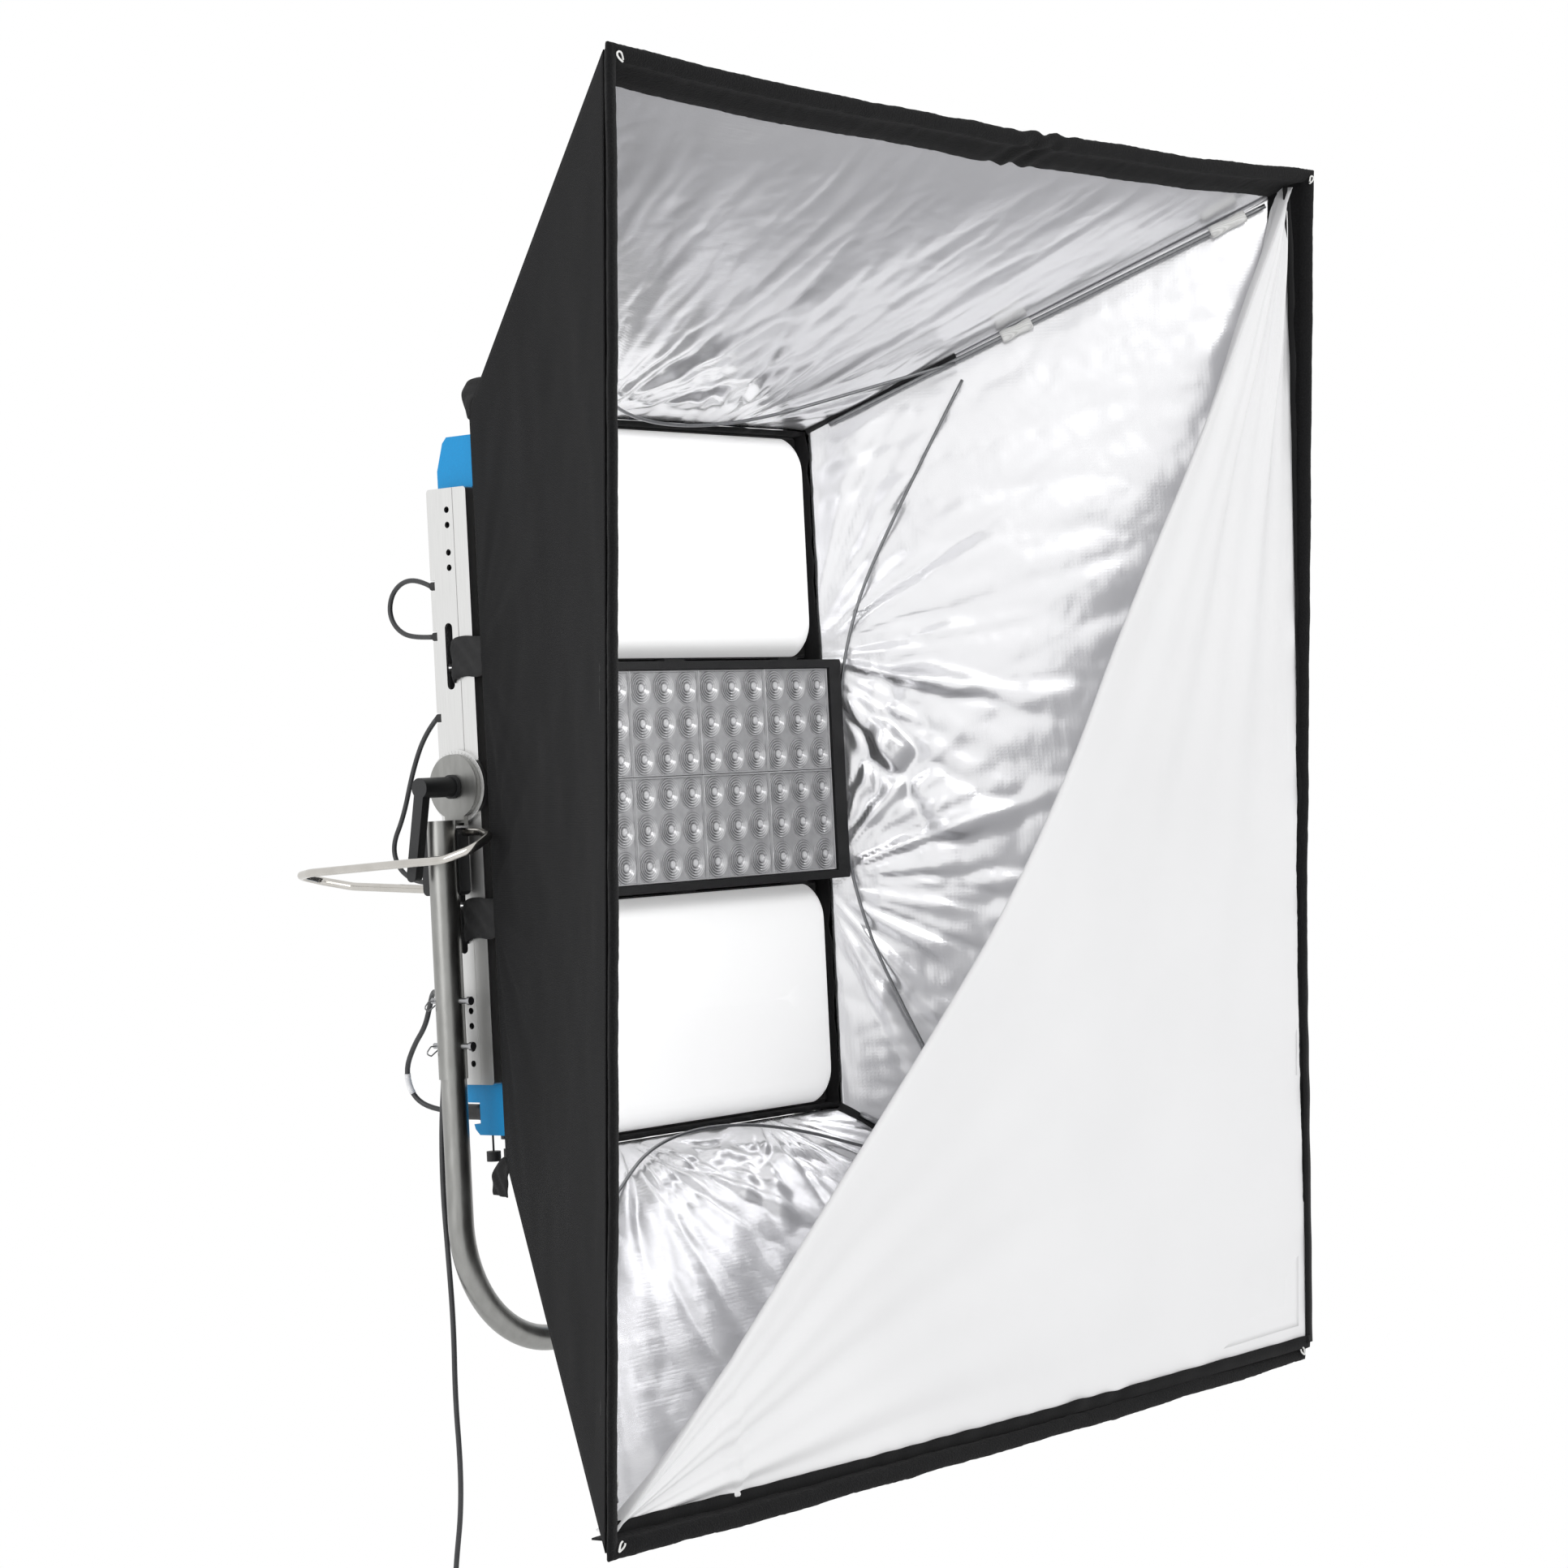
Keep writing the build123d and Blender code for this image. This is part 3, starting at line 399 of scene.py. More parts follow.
def bag_point(side, t, share, off=0.0, ring=RING):
    """A point of the bag's cloth. t runs from -1 to 1 clockwise along the side, share runs from the
    ring to the front, and off is the distance outwards. The lining starts at its own ring."""
    w = RING_W * (1 - share) + FRONT_W * share
    h = RING_H * (1 - share) + FRONT_H * share
    centre = ring.lerp(FRONT, share)
    up = (Vector((0, 0, 1)) * RING_H).lerp(UP_FRONT * FRONT_H, share).normalized()
    dip = EDGE_DIP[side] * (1 - t * t) * max(share, 0.0) ** 2
    a = off - dip
    x, z = {
        "top": (t * (w + off), h + a),
        "right": (w + a, -t * (h + off)),
        "bottom": (-t * (w + off), -(h + a)),
        "left": (-(w + a), t * (h + off)),
    }[side]
    return centre + Vector((x, 0, 0)) + up * z


def inward(side, share=0.5):
    """The direction from a wall's middle straight into the bag."""
    a = bag_point(side, 0, share)
    along = bag_point(side, 0.5, share) - a
    deep = bag_point(side, 0, share + 0.2) - a
    normal = along.cross(deep).normalized()
    centre = RING.lerp(FRONT, share)
    return normal if normal.dot(centre - a) > 0 else -normal


def strap_pulls(side, t, share, seed):
    """Folds that fan out from the two straps on a wall's rear edge, as a height from -1 to 1."""
    half = 1.4 if side in ("left", "right") else 1.1
    reach = RING_W if side in ("top", "bottom") else RING_H
    total = 0.0
    for spot in (-0.36, 0.36):
        pull = spot * (1.25 if side in ("top", "bottom") else 0.92)
        width = reach * (1 + half * share)
        dx = t * width - pull * reach
        dy = share * SLANT + 0.02
        angle = math.atan2(dx, dy)
        distance = math.hypot(dx, dy)
        fan = math.sin(angle * 9 + seed + pull * 7) + 0.6 * math.sin(angle * 17 + seed * 2.3)
        fan += 0.35 * math.sin(angle * 31 + seed * 1.7)
        total += fan * (distance / 0.12) * math.exp(-distance / 0.14)
    return total


def cloth_grid(name, point_at, across, deep, finish):
    """A grid of cloth from a function of two shares."""
    vertices = [point_at(i / across, j / deep) for j in range(deep + 1) for i in range(across + 1)]
    faces = []
    row = across + 1
    for j in range(deep):
        for i in range(across):
            faces.append((j * row + i, j * row + i + 1, (j + 1) * row + i + 1, (j + 1) * row + i))
    return new_piece(name, vertices, faces, finish)


def thicken(piece, thickness, offset=0.0):
    """Gives a sheet its thickness."""
    solid = piece.modifiers.new("thickness", "SOLIDIFY")
    solid.thickness = thickness
    solid.offset = offset
    solid.use_even_offset = False


# ---- bag: outer cloth --------------------------------------------------------------------------
# Charcoal polyester cloth, plain woven, with a soft matt face and long shallow folds
# that run from the rear straps to the front frame.
bag_cloth, tree, shader = material(
    "charcoal_polyester_cloth", "#161617", Roughness=0.92, Sheen_Weight=0.01, Sheen_Roughness=0.5
)
shader.inputs["Specular IOR Level"].default_value = 0.1
at = place(tree)
broad = add(tree, "ShaderNodeTexNoise", {"Scale": 5.0, "Detail": 6.0}, {"Vector": (at, "Object")})
mottle(tree, shader, broad, "Fac", "#131314", "#1b1b1c")
# The threads are 0.5 mm apart; they are drawn 2 mm apart so that they show.
warp = add(
    tree,
    "ShaderNodeTexWave",
    {"Scale": 160.0, "bands_direction": "Z", "Distortion": 1.5, "Detail": 2.0},
    {"Vector": (at, "Object")},
)
weft = add(
    tree,
    "ShaderNodeTexWave",
    {"Scale": 160.0, "bands_direction": "DIAGONAL", "Distortion": 1.5},
    {"Vector": (at, "Object")},
)
threads = add(
    tree, "ShaderNodeMath", {"operation": "ADD"}, {0: (warp, "Fac"), 1: (weft, "Fac")}
)
relief(tree, shader, threads, "Value", 0.0003, 0.5)

for number, side in enumerate(SIDES):
    into = inward(side)

    def outer_at(a, b, side=side, into=into, number=number):
        t = 2 * a - 1
        share = b * 0.985
        base = bag_point(side, t, share, 0.003)
        edge = min(1.0, (1 - abs(t)) * 9) * min(1.0, b * 12) * min(1.0, (1 - b) * 9)
        folds = strap_pulls(side, t, share, 1.3 * number)
        slack = noise.noise(base * 4.0 + Vector((number * 7.0, 0, 0))) * 0.006
        slack += noise.noise(base * 13.0) * 0.002
        pull = math.sin(math.pi * b) * (1 - t * t) * 0.012
        return base + into * ((folds * 0.0035 + slack + 0.001) * edge + pull)

    wall = cloth_grid(f"bag_cloth_{side}", outer_at, 110, 90, bag_cloth)
    thicken(wall, 0.0012)
    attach(wall, "head")
    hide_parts(f"wall_{side}")

# ---- bag: silver lining ------------------------------------------------------------------------
# Aluminised polyester sewn inside the cloth: mirror bright, with crisp crinkles, long folds pulled
# from the rear straps, and a faint square rip-stop grid.
silver_lining, tree, shader = material("aluminised_polyester", "#f6f6f8", Metallic=0.86, Roughness=0.25)
at = place(tree)
crinkle = add(
    tree,
    "ShaderNodeTexNoise",
    {
        "noise_type": "RIDGED_MULTIFRACTAL",
        "Scale": 9.0,
        "Detail": 7.0,
        "Roughness": 0.58,
        "Distortion": 0.5,
    },
    {"Vector": (at, "Object")},
)
weave_map = add(tree, "ShaderNodeMapping", {"Scale": (1.0, 1.0, 1.0)}, {"Vector": (at, "Object")})
# The rip-stop grid has a heavier thread every 5 mm, both ways.
grid_up = add(
    tree, "ShaderNodeTexWave", {"Scale": 63.0, "bands_direction": "Z"}, {"Vector": (weave_map, 0)}
)
grid_deep = add(
    tree, "ShaderNodeTexWave", {"Scale": 63.0, "bands_direction": "Y"}, {"Vector": (weave_map, 0)}
)
grid = add(
    tree, "ShaderNodeMath", {"operation": "MAXIMUM"}, {0: (grid_up, "Fac"), 1: (grid_deep, "Fac")}
)
fine_grid = add(tree, "ShaderNodeMath", {"operation": "MULTIPLY", 1: 0.035}, {0: (grid, 0)})
surface = add(tree, "ShaderNodeMath", {"operation": "ADD"}, {0: (crinkle, "Fac"), 1: (fine_grid, 0)})
relief(tree, shader, surface, 0, 0.0022, 0.5)
for number, side in enumerate(SIDES):
    into = inward(side)

    def lining_at(a, b, side=side, into=into, number=number):
        t = 2 * a - 1
        share = b * 0.940
        base = bag_point(side, t, share, -0.002, LINING_RING)
        seam = min(1.0, (1 - abs(t)) * 14)
        edge = seam * (0.10 + 0.90 * min(1.0, b * 9)) * min(1.0, (1 - b) * 7)
        folds = strap_pulls(side, t, share, 2.1 * number + 0.7)
        # Crumples are drawn out along the fall from the ring to the front.
        drawn = Vector((t * 9.0, share * 3.0, number * 5.0))
        waves = noise.noise(base * 3.2 + Vector((0, number * 5.0, 0))) * 0.006
        waves += abs(noise.noise(drawn)) * 0.006
        waves += abs(noise.noise(base * 15.0 + drawn)) * 0.0022
        waves += abs(noise.noise(base * 38.0 - drawn)) * 0.0010
        pull = math.sin(math.pi * b) * (1 - t * t) * 0.014
        calm = 1.0 if side in ("left", "right") else 0.62
        return base + into * ((abs(folds) * 0.012 + folds * 0.004 + waves) * edge * calm + pull)

    lining = cloth_grid(f"silver_lining_{side}", lining_at, 190, 130, silver_lining)
    thicken(lining, 0.0006)
    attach(lining, "head")

# ---- bag: front border -------------------------------------------------------------------------
# A padded roll of black loop pile round the frame rods, with a 50 mm pile band behind it that the
# front cloth's hook tape sticks to.
pile, tree, shader = material(
    "black_loop_pile", "#0d0d0e", Roughness=1.0, Sheen_Weight=0.05, Sheen_Roughness=0.6
)
shader.inputs["Specular IOR Level"].default_value = 0.1
at = place(tree)
loops = add(
    tree, "ShaderNodeTexNoise", {"Scale": 420.0, "Detail": 3.0}, {"Vector": (at, "Object")}
)
mottle(tree, shader, loops, "Fac", "#070708", "#1a1a1b")
relief(tree, shader, loops, "Fac", 0.0012)


def loop_piece(name, profile, point_at, finish, stations, closed=True):
    """Sweeps a profile of (outwards, backwards) places round the bag's four sides."""
    vertices = []
    faces = []
    size = len(profile)
    for side in SIDES:
        for i in range(stations):
            # Stations crowd a little towards the corners.
            t = -math.cos(math.pi * i / stations) * 0.35 + (2 * i / stations - 1) * 0.65
            for k, (off, back) in enumerate(profile):
                vertices.append(point_at(side, t, off, back, k))
    rings = 4 * stations
    for i in range(rings):
        j = (i + 1) % rings
        for k in range(size if closed else size - 1):
            n = (k + 1) % size
            faces.append((i * size + k, i * size + n, j * size + n, j * size + k))
    return new_piece(name, vertices, faces, finish)


ROLL_R = 0.009
roll_profile = [
    (-0.0006, 0.0540),
    (-0.0060, 0.0560),
    (-0.0092, 0.0535),
    (-0.0088, 0.0400),
    (-0.0080, 0.0300),
    (-0.0074, 0.0210),
]
for k in range(17):
    a = math.radians(125 + k * 17.2)
    roll_profile.append((-0.006 + ROLL_R * math.cos(a), ROLL_R * math.sin(a)))
roll_profile += [(0.0006, 0.018), (0.0002, 0.030), (-0.0002, 0.042)]


def border_at(side, t, off, back, k):
    base = bag_point(side, t, 1 - back / SLANT, off)
    rumple = noise.noise(base * 9.0) * 0.0030 + noise.noise(base * 45.0) * 0.0009
    fuzz = noise.noise(base * 400.0 + Vector((k * 1.7, 0, 0))) * 0.0010
    # The band is lapped and gathered in the middle of the top edge.
    if side == "top":
        gathered = math.exp(-(((t - 0.12) / 0.07) ** 2))
        rumple += 0.0030 * gathered * math.sin(t * 95 + back * 60)
    out = base - RING.lerp(FRONT, 1.0)
    return base + out.normalized() * (rumple + fuzz)


border = loop_piece("front_border_pile", roll_profile, border_at, pile, 260)
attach(border, "head")
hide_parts("front_border")

# ---- bag: frame rods, sleeves and hoops --------------------------------------------------------
# Spring-steel rods: one in each front roll and one along each corner seam, where two white tape sleeves
# hold it. A thin hoop bows across each wall.
spring_steel, tree, shader = material("spring_steel_rod", "#8f9092", Metallic=1.0, Roughness=0.32)
streak_map = add(tree, "ShaderNodeMapping", {"Scale": (40.0, 40.0, 40.0)}, {"Vector": (place(tree), "Object")})
streak = add(tree, "ShaderNodeTexNoise", {"Scale": 6.0, "Detail": 4.0}, {"Vector": (streak_map, 0)})
mottle(tree, shader, streak, "Fac", "#77787a", "#a2a3a5")
relief(tree, shader, streak, "Fac", 0.0001)
rod_parts = ([], [])


def gather(store, made):
    """Adds one tube's vertices and faces to a piece in the making."""
    start = len(store[0])
    store[0].extend(made[0])
    store[1].extend(tuple(i + start for i in face) for face in made[1])


for side in SIDES:
    edge = [bag_point(side, -0.985 + 1.97 * i / 60, 1.0, -0.006) for i in range(61)]
    gather(rod_parts, tube(edge, 0.003, 10))


def corner_point(side, share, inset):
    """A point just inside a corner seam; the corner is at the end of the side."""
    at = bag_point(side, 1.0, share, 0.0, LINING_RING)
    centre = LINING_RING.lerp(FRONT, share)
    across = Vector((math.copysign(1, at.x), 0, 0))
    rise = UP_FRONT if at.z > centre.z else -UP_FRONT
    return at - across * inset - rise * inset


for side in SIDES:
    rod = [corner_point(side, 0.05 + 0.88 * i / 40, 0.012 + 0.012 * i / 40) for i in range(41)]
    gather(rod_parts, tube(rod, 0.0035, 12))
frame_rods = new_piece("bag_frame_rods", *rod_parts, spring_steel)
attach(frame_rods, "head")
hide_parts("frame_rods")

white_tape, tree, shader = material("white_cotton_tape", "#e9e9e7", Roughness=0.9, Sheen_Weight=0.2)
twill = add(
    tree,
    "ShaderNodeTexWave",
    {"Scale": 180.0, "bands_direction": "DIAGONAL", "Distortion": 1.0},
    {"Vector": (place(tree), "Object")},
)
mottle(tree, shader, twill, "Fac", "#d8d8d6", "#efefed")
relief(tree, shader, twill, "Fac", 0.0003)
sleeve_parts = ([], [])
for side in SIDES:
    for near, far in ((0.40, 0.46), (0.82, 0.89)):
        path = []
        for i in range(13):
            share = near + (far - near) * i / 12
            path.append(corner_point(side, share, 0.012 + 0.012 * (share - 0.05) / 0.88))
        gather(sleeve_parts, tube(path, 0.009, 18, lambda s: 1.0 + 0.08 * math.sin(s * 9) - 0.1 * s))
rod_sleeves = new_piece("rod_tape_sleeves", *sleeve_parts, white_tape)
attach(rod_sleeves, "head")
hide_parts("rod_sleeves")

hoop_parts = ([], [])
for side in SIDES:
    stops = []
    for share, t in (
        (0.33, -0.96), (0.20, -0.72), (0.08, -0.42), (0.045, 0.0),
        (0.08, 0.42), (0.20, 0.72), (0.33, 0.96),
    ):
        stops.append(bag_point(side, t, share, -0.030, LINING_RING))
    gather(hoop_parts, tube(route_points(stops, 12), 0.0025, 12))
wall_hoops = new_piece("wall_hoop_wires", *hoop_parts, spring_steel)
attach(wall_hoops, "head")
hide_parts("wall_hoops")

# ---- bag: rear collar --------------------------------------------------------------------------
# A black cloth collar closes the gap between the bag's rear ring and the light modules.
collar_cloth, tree, shader = material(
    "black_nylon_cloth", "#0e0e0f", Roughness=0.88, Sheen_Weight=0.04
)
shader.inputs["Specular IOR Level"].default_value = 0.2
grained_finish(tree, shader, 350.0, 3.0, "#0a0a0b", "#161617", 0.0004)
collar_profile = [
    (0.0, -0.0525), (0.0, -0.075), (-0.001, -0.097), (-0.005, -0.1015),
    (-0.012, -0.1005), (-0.0145, -0.085), (-0.0148, -0.0525), (-0.007, -0.0515),
]


def collar_at(side, t, off, deep, k):
    w = 0.3435 + off
    h = 0.5085 + off * 0.62
    x, z = {"top": (t * w, h), "right": (w, -t * h), "bottom": (-t * w, -h), "left": (-w, t * h)}[side]
    base = Vector((x, deep, 0.8 + z))
    if k in (2, 3, 4):
        rumple = noise.noise(base * 28.0) * 0.006 + noise.noise(base * 70.0) * 0.002
        base.y -= 0.002 + rumple
    return base


collar = loop_piece("rear_collar", collar_profile, collar_at, collar_cloth, 110)
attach(collar, "head")
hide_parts("bag_collar")

# ---- diffuser ----------------------------------------------------------------------------------
# White translucent polyester. It is hooked along the right and bottom edges; its other half is folded
# back behind it along the diagonal, so the cloth lies double.
diffuser_white, tree, shader = material(
    "white_diffuser_polyester", "#f0f0f0", Roughness=0.75, Sheen_Weight=0.15
)
shader.inputs["Specular IOR Level"].default_value = 0.3
at = place(tree)
# The threads are 0.3 mm apart; they are drawn 1.5 mm apart so that they show.
threads = add(
    tree,
    "ShaderNodeTexWave",
    {"Scale": 210.0, "bands_direction": "X", "Distortion": 0.8},
    {"Vector": (at, "Object")},
)
soft = add(tree, "ShaderNodeTexNoise", {"Scale": 2.2, "Detail": 4.0}, {"Vector": (at, "Object")})
mottle(tree, shader, soft, "Fac", "#dededf", "#e9e9ea")
relief(tree, shader, threads, "Fac", 0.00012)
FOLD = [
    (0.768, 0.868),
    (0.557, 0.533),
    (0.324, 0.227),
    (0.184, 0.003),
    (0.007, -0.199),
    (-0.204, -0.388),
    (-0.478, -0.627),
    (-0.644, -0.768),
    (-0.772, -0.872),
]
CLOTH_W = 0.768
CLOTH_H = 0.868
FRONT_BACK = UP_FRONT.cross(Vector((1, 0, 0))).normalized()
if FRONT_BACK.y < 0:
    FRONT_BACK.negate()


def on_front(x, up, setback):
    return FRONT + Vector((x, 0, 0)) + UP_FRONT * up + FRONT_BACK * setback


fold_line = route_points([(x, z, 0.0) for x, z in FOLD], 12)
fold_far = path_length(fold_line)


def fold_at(share):
    """A point of the fold line, by its share of the line's length."""
    goal = share * fold_far
    for a, b in zip(fold_line, fold_line[1:]):
        step = (b - a).length
        if goal <= step:
            return a.lerp(b, goal / step)
        goal -= step
    return fold_line[-1].copy()


# Lower down, the right hem rides out over the front of the padded roll.
HEM_SPREAD = 0.040


def hem_forward(share):
    """How far the hem lies in front of its place at the top corner."""
    down = min(1.0, share * 2) ** 0.7 if share < 0.5 else 1 - min(1.0, (share - 0.5) * 2) ** 0.6
    return 0.030 * down


def hem_at(share):
    """The matching point of the hooked edge: down the right side, then along the bottom."""
    if share < 0.5:
        z = CLOTH_H - share * 2 * 2 * CLOTH_H
        return Vector((CLOTH_W - 0.006 + HEM_SPREAD * (share * 2) ** 0.7, z, 0))
    x = CLOTH_W - 0.006 + HEM_SPREAD - (share - 0.5) * 2 * (2 * CLOTH_W - 0.006 + HEM_SPREAD)
    bow = 0.006 * (1 - (x / CLOTH_W) ** 2)
    return Vector((x, -CLOTH_H - bow, 0))


ACROSS = 220
DEEP = 90
vertices = []
for layer in (0, 1):
    for j in range(DEEP + 1):
        b = j / DEEP
        for i in range(ACROSS + 1):
            a = i / ACROSS
            a = a + 0.12 * math.sin(2 * math.pi * a) / (2 * math.pi) * -1.0
            flat = fold_at(a).lerp(hem_at(a), b)
            top = Vector((CLOTH_W, CLOTH_H, 0))
            low = Vector((-CLOTH_W, -CLOTH_H, 0))
            lift = 0.0
            for corner, count, size, phase in ((top, 26, 0.013, 0.4), (low, 24, 0.008, 1.9)):
                gap = flat - corner
                reach = gap.length
                angle = math.atan2(gap.x, gap.y)
                fan = math.sin(angle * count + phase) + 0.5 * math.sin(angle * count * 2.3 + phase * 3)
                lift += size * fan * min(1.0, reach / 0.25) * math.exp(-reach / 0.55)
            # One sharp crease runs up from the bottom hem near the left corner.
            crease = flat.x + 0.535 + 0.10 * (flat.y + 0.87)
            lift -= 0.010 * math.exp(-((crease / 0.012) ** 2)) * max(0.0, 1 - (flat.y + 0.87) / 0.26)
            lift += noise.noise(flat * 2.6) * 0.008 + noise.noise(flat * 7.0) * 0.0025
            hem = min(1.0, (1 - b) * 7)
            sag = 0.016 * math.sin(math.pi * min(1.0, b)) * math.sin(math.pi * a)
            setback = 0.010 + 0.010 * b + lift * hem * (0.4 + 0.6 * min(1.0, b * 6)) + sag
            setback -= hem_forward(a) * b**3
            if layer:
                setback += 0.004 + 0.020 * math.sin(math.pi * min(1.0, b * 1.05)) ** 0.5
                flat = fold_at(a).lerp(hem_at(a), b * 0.965)
            vertices.append(on_front(flat.x, flat.y, setback))
faces = []
row = ACROSS + 1
size = row * (DEEP + 1)
for layer in (0, 1):
    for j in range(DEEP):
        for i in range(ACROSS):
            quad = [j * row + i, j * row + i + 1, (j + 1) * row + i + 1, (j + 1) * row + i]
            quad = [layer * size + k for k in quad]
            faces.append(tuple(quad) if layer else tuple(reversed(quad)))
for i in range(ACROSS):
    faces.append((i, i + 1, size + i + 1, size + i))
diffuser = new_piece("diffuser_double_cloth", vertices, faces, diffuser_white)
thicken(diffuser, 0.0009)
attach(diffuser, "head")
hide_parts("diffuser_cloth")

# The hem: a black hook strip along the two attached edges, a little rumpled.
hem_parts = ([], [])
STEPS = 260
for part, (start, end) in enumerate(((0.0, 0.5), (0.5, 1.0))):
    base = len(hem_parts[0])
    for i in range(STEPS + 1):
        share = start + (end - start) * i / STEPS
        point = hem_at(min(share, end - 1e-6))
        out = Vector((1, 0, 0)) if part == 0 else Vector((0, -1, 0))
        wave = noise.noise(Vector((share * 60, part * 9.0, 0))) * 0.004
        for off, set_in in (
            (-0.010, 0.017), (0.008, 0.018), (0.014, 0.030), (0.016, 0.052),
            (0.0135, 0.052), (0.0115, 0.031), (0.006, 0.0205), (-0.010, 0.0195),
        ):
            place_at = point + out * (off + wave)
            forward = hem_forward(min(share, end - 1e-6))
            hem_parts[0].append(on_front(place_at.x, place_at.y, set_in + wave - forward))
    hem_parts[1].extend(ring_quads(base, STEPS, 8))
    hem_parts[1].append(tuple(base + k for k in range(7, -1, -1)))
    hem_parts[1].append(tuple(base + STEPS * 8 + k for k in range(8)))
hem_strip = new_piece("diffuser_hook_strip", *hem_parts, collar_cloth)
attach(hem_strip, "head")
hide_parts("diffuser_border")

# ---- straps, tabs and corner loops -------------------------------------------------------------
# Webbing straps come out of the bag's rear ring, pass over the side rails and stick back on themselves.
webbing, tree, shader = material("polyester_webbing", "#121213", Roughness=0.82, Sheen_Weight=0.05)
herring = add(
    tree,
    "ShaderNodeTexWave",
    {"Scale": 240.0, "bands_direction": "Y", "wave_profile": "TRI", "Distortion": 0.4},
    {"Vector": (place(tree), "Object")},
)
mottle(tree, shader, herring, "Fac", "#0e0e0f", "#1c1c1e")
relief(tree, shader, herring, "Fac", 0.0004)


def ribbon(store, line, across, width, thickness=0.0018):
    """Adds a webbing ribbon that follows a line of points and is wide along one direction."""
    path = route_points(line, 8)
    base = len(store[0])
    cols = 6
    for i, point in enumerate(path):
        along = (path[min(i + 1, len(path) - 1)] - path[max(i - 1, 0)]).normalized()
        face_out = along.cross(across).normalized()
        ends = 1.0 - 0.10 * (abs(2 * i / (len(path) - 1) - 1) ** 12)
        ring = []
        for k in range(cols + 1):
            s = (k / cols - 0.5) * width * ends
            curl = 0.0012 * math.sin(k * 1.9 + i * 0.4)
            ring.append(point + across * s + face_out * (thickness / 2 + curl))
        for k in range(cols, -1, -1):
            s = (k / cols - 0.5) * width * ends
            curl = 0.0012 * math.sin(k * 1.9 + i * 0.4)
            ring.append(point + across * s - face_out * (thickness / 2 - curl))
        store[0].extend(ring)
    size = 2 * (cols + 1)
    store[1].extend(ring_quads(base, len(path) - 1, size, inward_first=True))
    store[1].append(tuple(base + k for k in range(size)))
    last = base + (len(path) - 1) * size
    store[1].append(tuple(last + k for k in range(size - 1, -1, -1)))


strap_parts = ([], [])
UPRIGHT = Vector((0, 0, 1))
for sign in (-1, 1):
    for z, tail in ((0.978, 0.004), (0.618, 0.006)):
        line = [
            (sign * 0.3385, -0.006, z - 0.008),
            (sign * 0.3460, -0.007 + tail, z - 0.008),
            (sign * 0.3490, 0.002, z - 0.006),
            (sign * 0.3485, -0.012, z),
            (sign * 0.3490, -0.030, z + 0.001),
            (sign * 0.3500, -0.046, z - 0.002),
            (sign * 0.3500, -0.060, z),
        ]
        ribbon(strap_parts, line, UPRIGHT, 0.056)
SIDEWAYS = Vector((1, 0, 0))
for x in (-0.160, 0.160):
    for sign in (-1, 1):
        line = [
            (x, 0.010, 0.8 + sign * 0.486),
            (x, 0.006, 0.8 + sign * 0.500),
            (x, -0.006, 0.8 + sign * 0.5075),
            (x, -0.030, 0.8 + sign * 0.511),
            (x, -0.052, 0.8 + sign * 0.5125),
        ]
        ribbon(strap_parts, line, SIDEWAYS, 0.05)
# Short pull tabs are sewn near the bag's rear corners.
for sign in (-1, 1):
    ribbon(
        strap_parts,
        [
            (sign * 0.349, -0.056, 1.300),
            (sign * 0.352, -0.052, 1.322),
            (sign * 0.354, -0.060, 1.338),
            (sign * 0.353, -0.076, 1.345),
            (sign * 0.352, -0.092, 1.346),
        ],
        Vector((0, 0.5, 0.866)).normalized(),
        0.026,
    )
    ribbon(
        strap_parts,
        [
            (sign * 0.350, -0.066, 0.288),
            (sign * 0.353, -0.052, 0.276),
            (sign * 0.353, -0.046, 0.262),
            (sign * 0.351, -0.044, 0.246),
            (sign * 0.349, -0.043, 0.236),
        ],
        Vector((0, 1, 0.15)).normalized(),
        0.028,
    )
# A black tape covers each corner seam of the lining for the first hand's breadth from the lamp.
for side in SIDES:
    line = [corner_point(side, share, 0.006) for share in (0.0, 0.08, 0.16, 0.24, 0.30)]
    inwards = (LINING_RING.lerp(FRONT, 0.15) - line[2]).normalized()
    across = (line[-1] - line[0]).cross(inwards).normalized()
    ribbon(strap_parts, line, across, 0.034)
straps = new_piece("bag_webbing_straps", *strap_parts, webbing)
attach(straps, "head")
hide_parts("bag_straps")

# Knotted loops of white elastic cord hold the ends of the frame rods at the front corners.
elastic, tree, shader = material("white_elastic_cord", "#e6e6e4", Roughness=0.8, Sheen_Weight=0.1)
braid = add(tree, "ShaderNodeTexNoise", {"Scale": 900.0}, {"Vector": (place(tree), "Object")})
mottle(tree, shader, braid, "Fac", "#d0d0ce", "#f0f0ee")
relief(tree, shader, braid, "Fac", 0.0004)
loop_parts = ([], [])
for side in SIDES:
    corner = bag_point(side, 1.0, 1.0, -0.008)
    toward = (corner - FRONT).normalized()
    front_out = -FRONT_BACK
    beside = toward.cross(front_out)
    line = []
    for i in range(15):
        a = math.radians(-150 + 300 * i / 14)
        swing = toward * (0.007 * math.cos(a) - 0.005) + beside * 0.0035 * math.sin(a)
        line.append(corner + front_out * (0.0105 + 0.001 * math.sin(a * 2)) + swing)
    gather(loop_parts, tube(route_points(line, 4), 0.0012, 10))
corner_loops = new_piece("corner_elastic_loops", *loop_parts, elastic)
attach(corner_loops, "head")
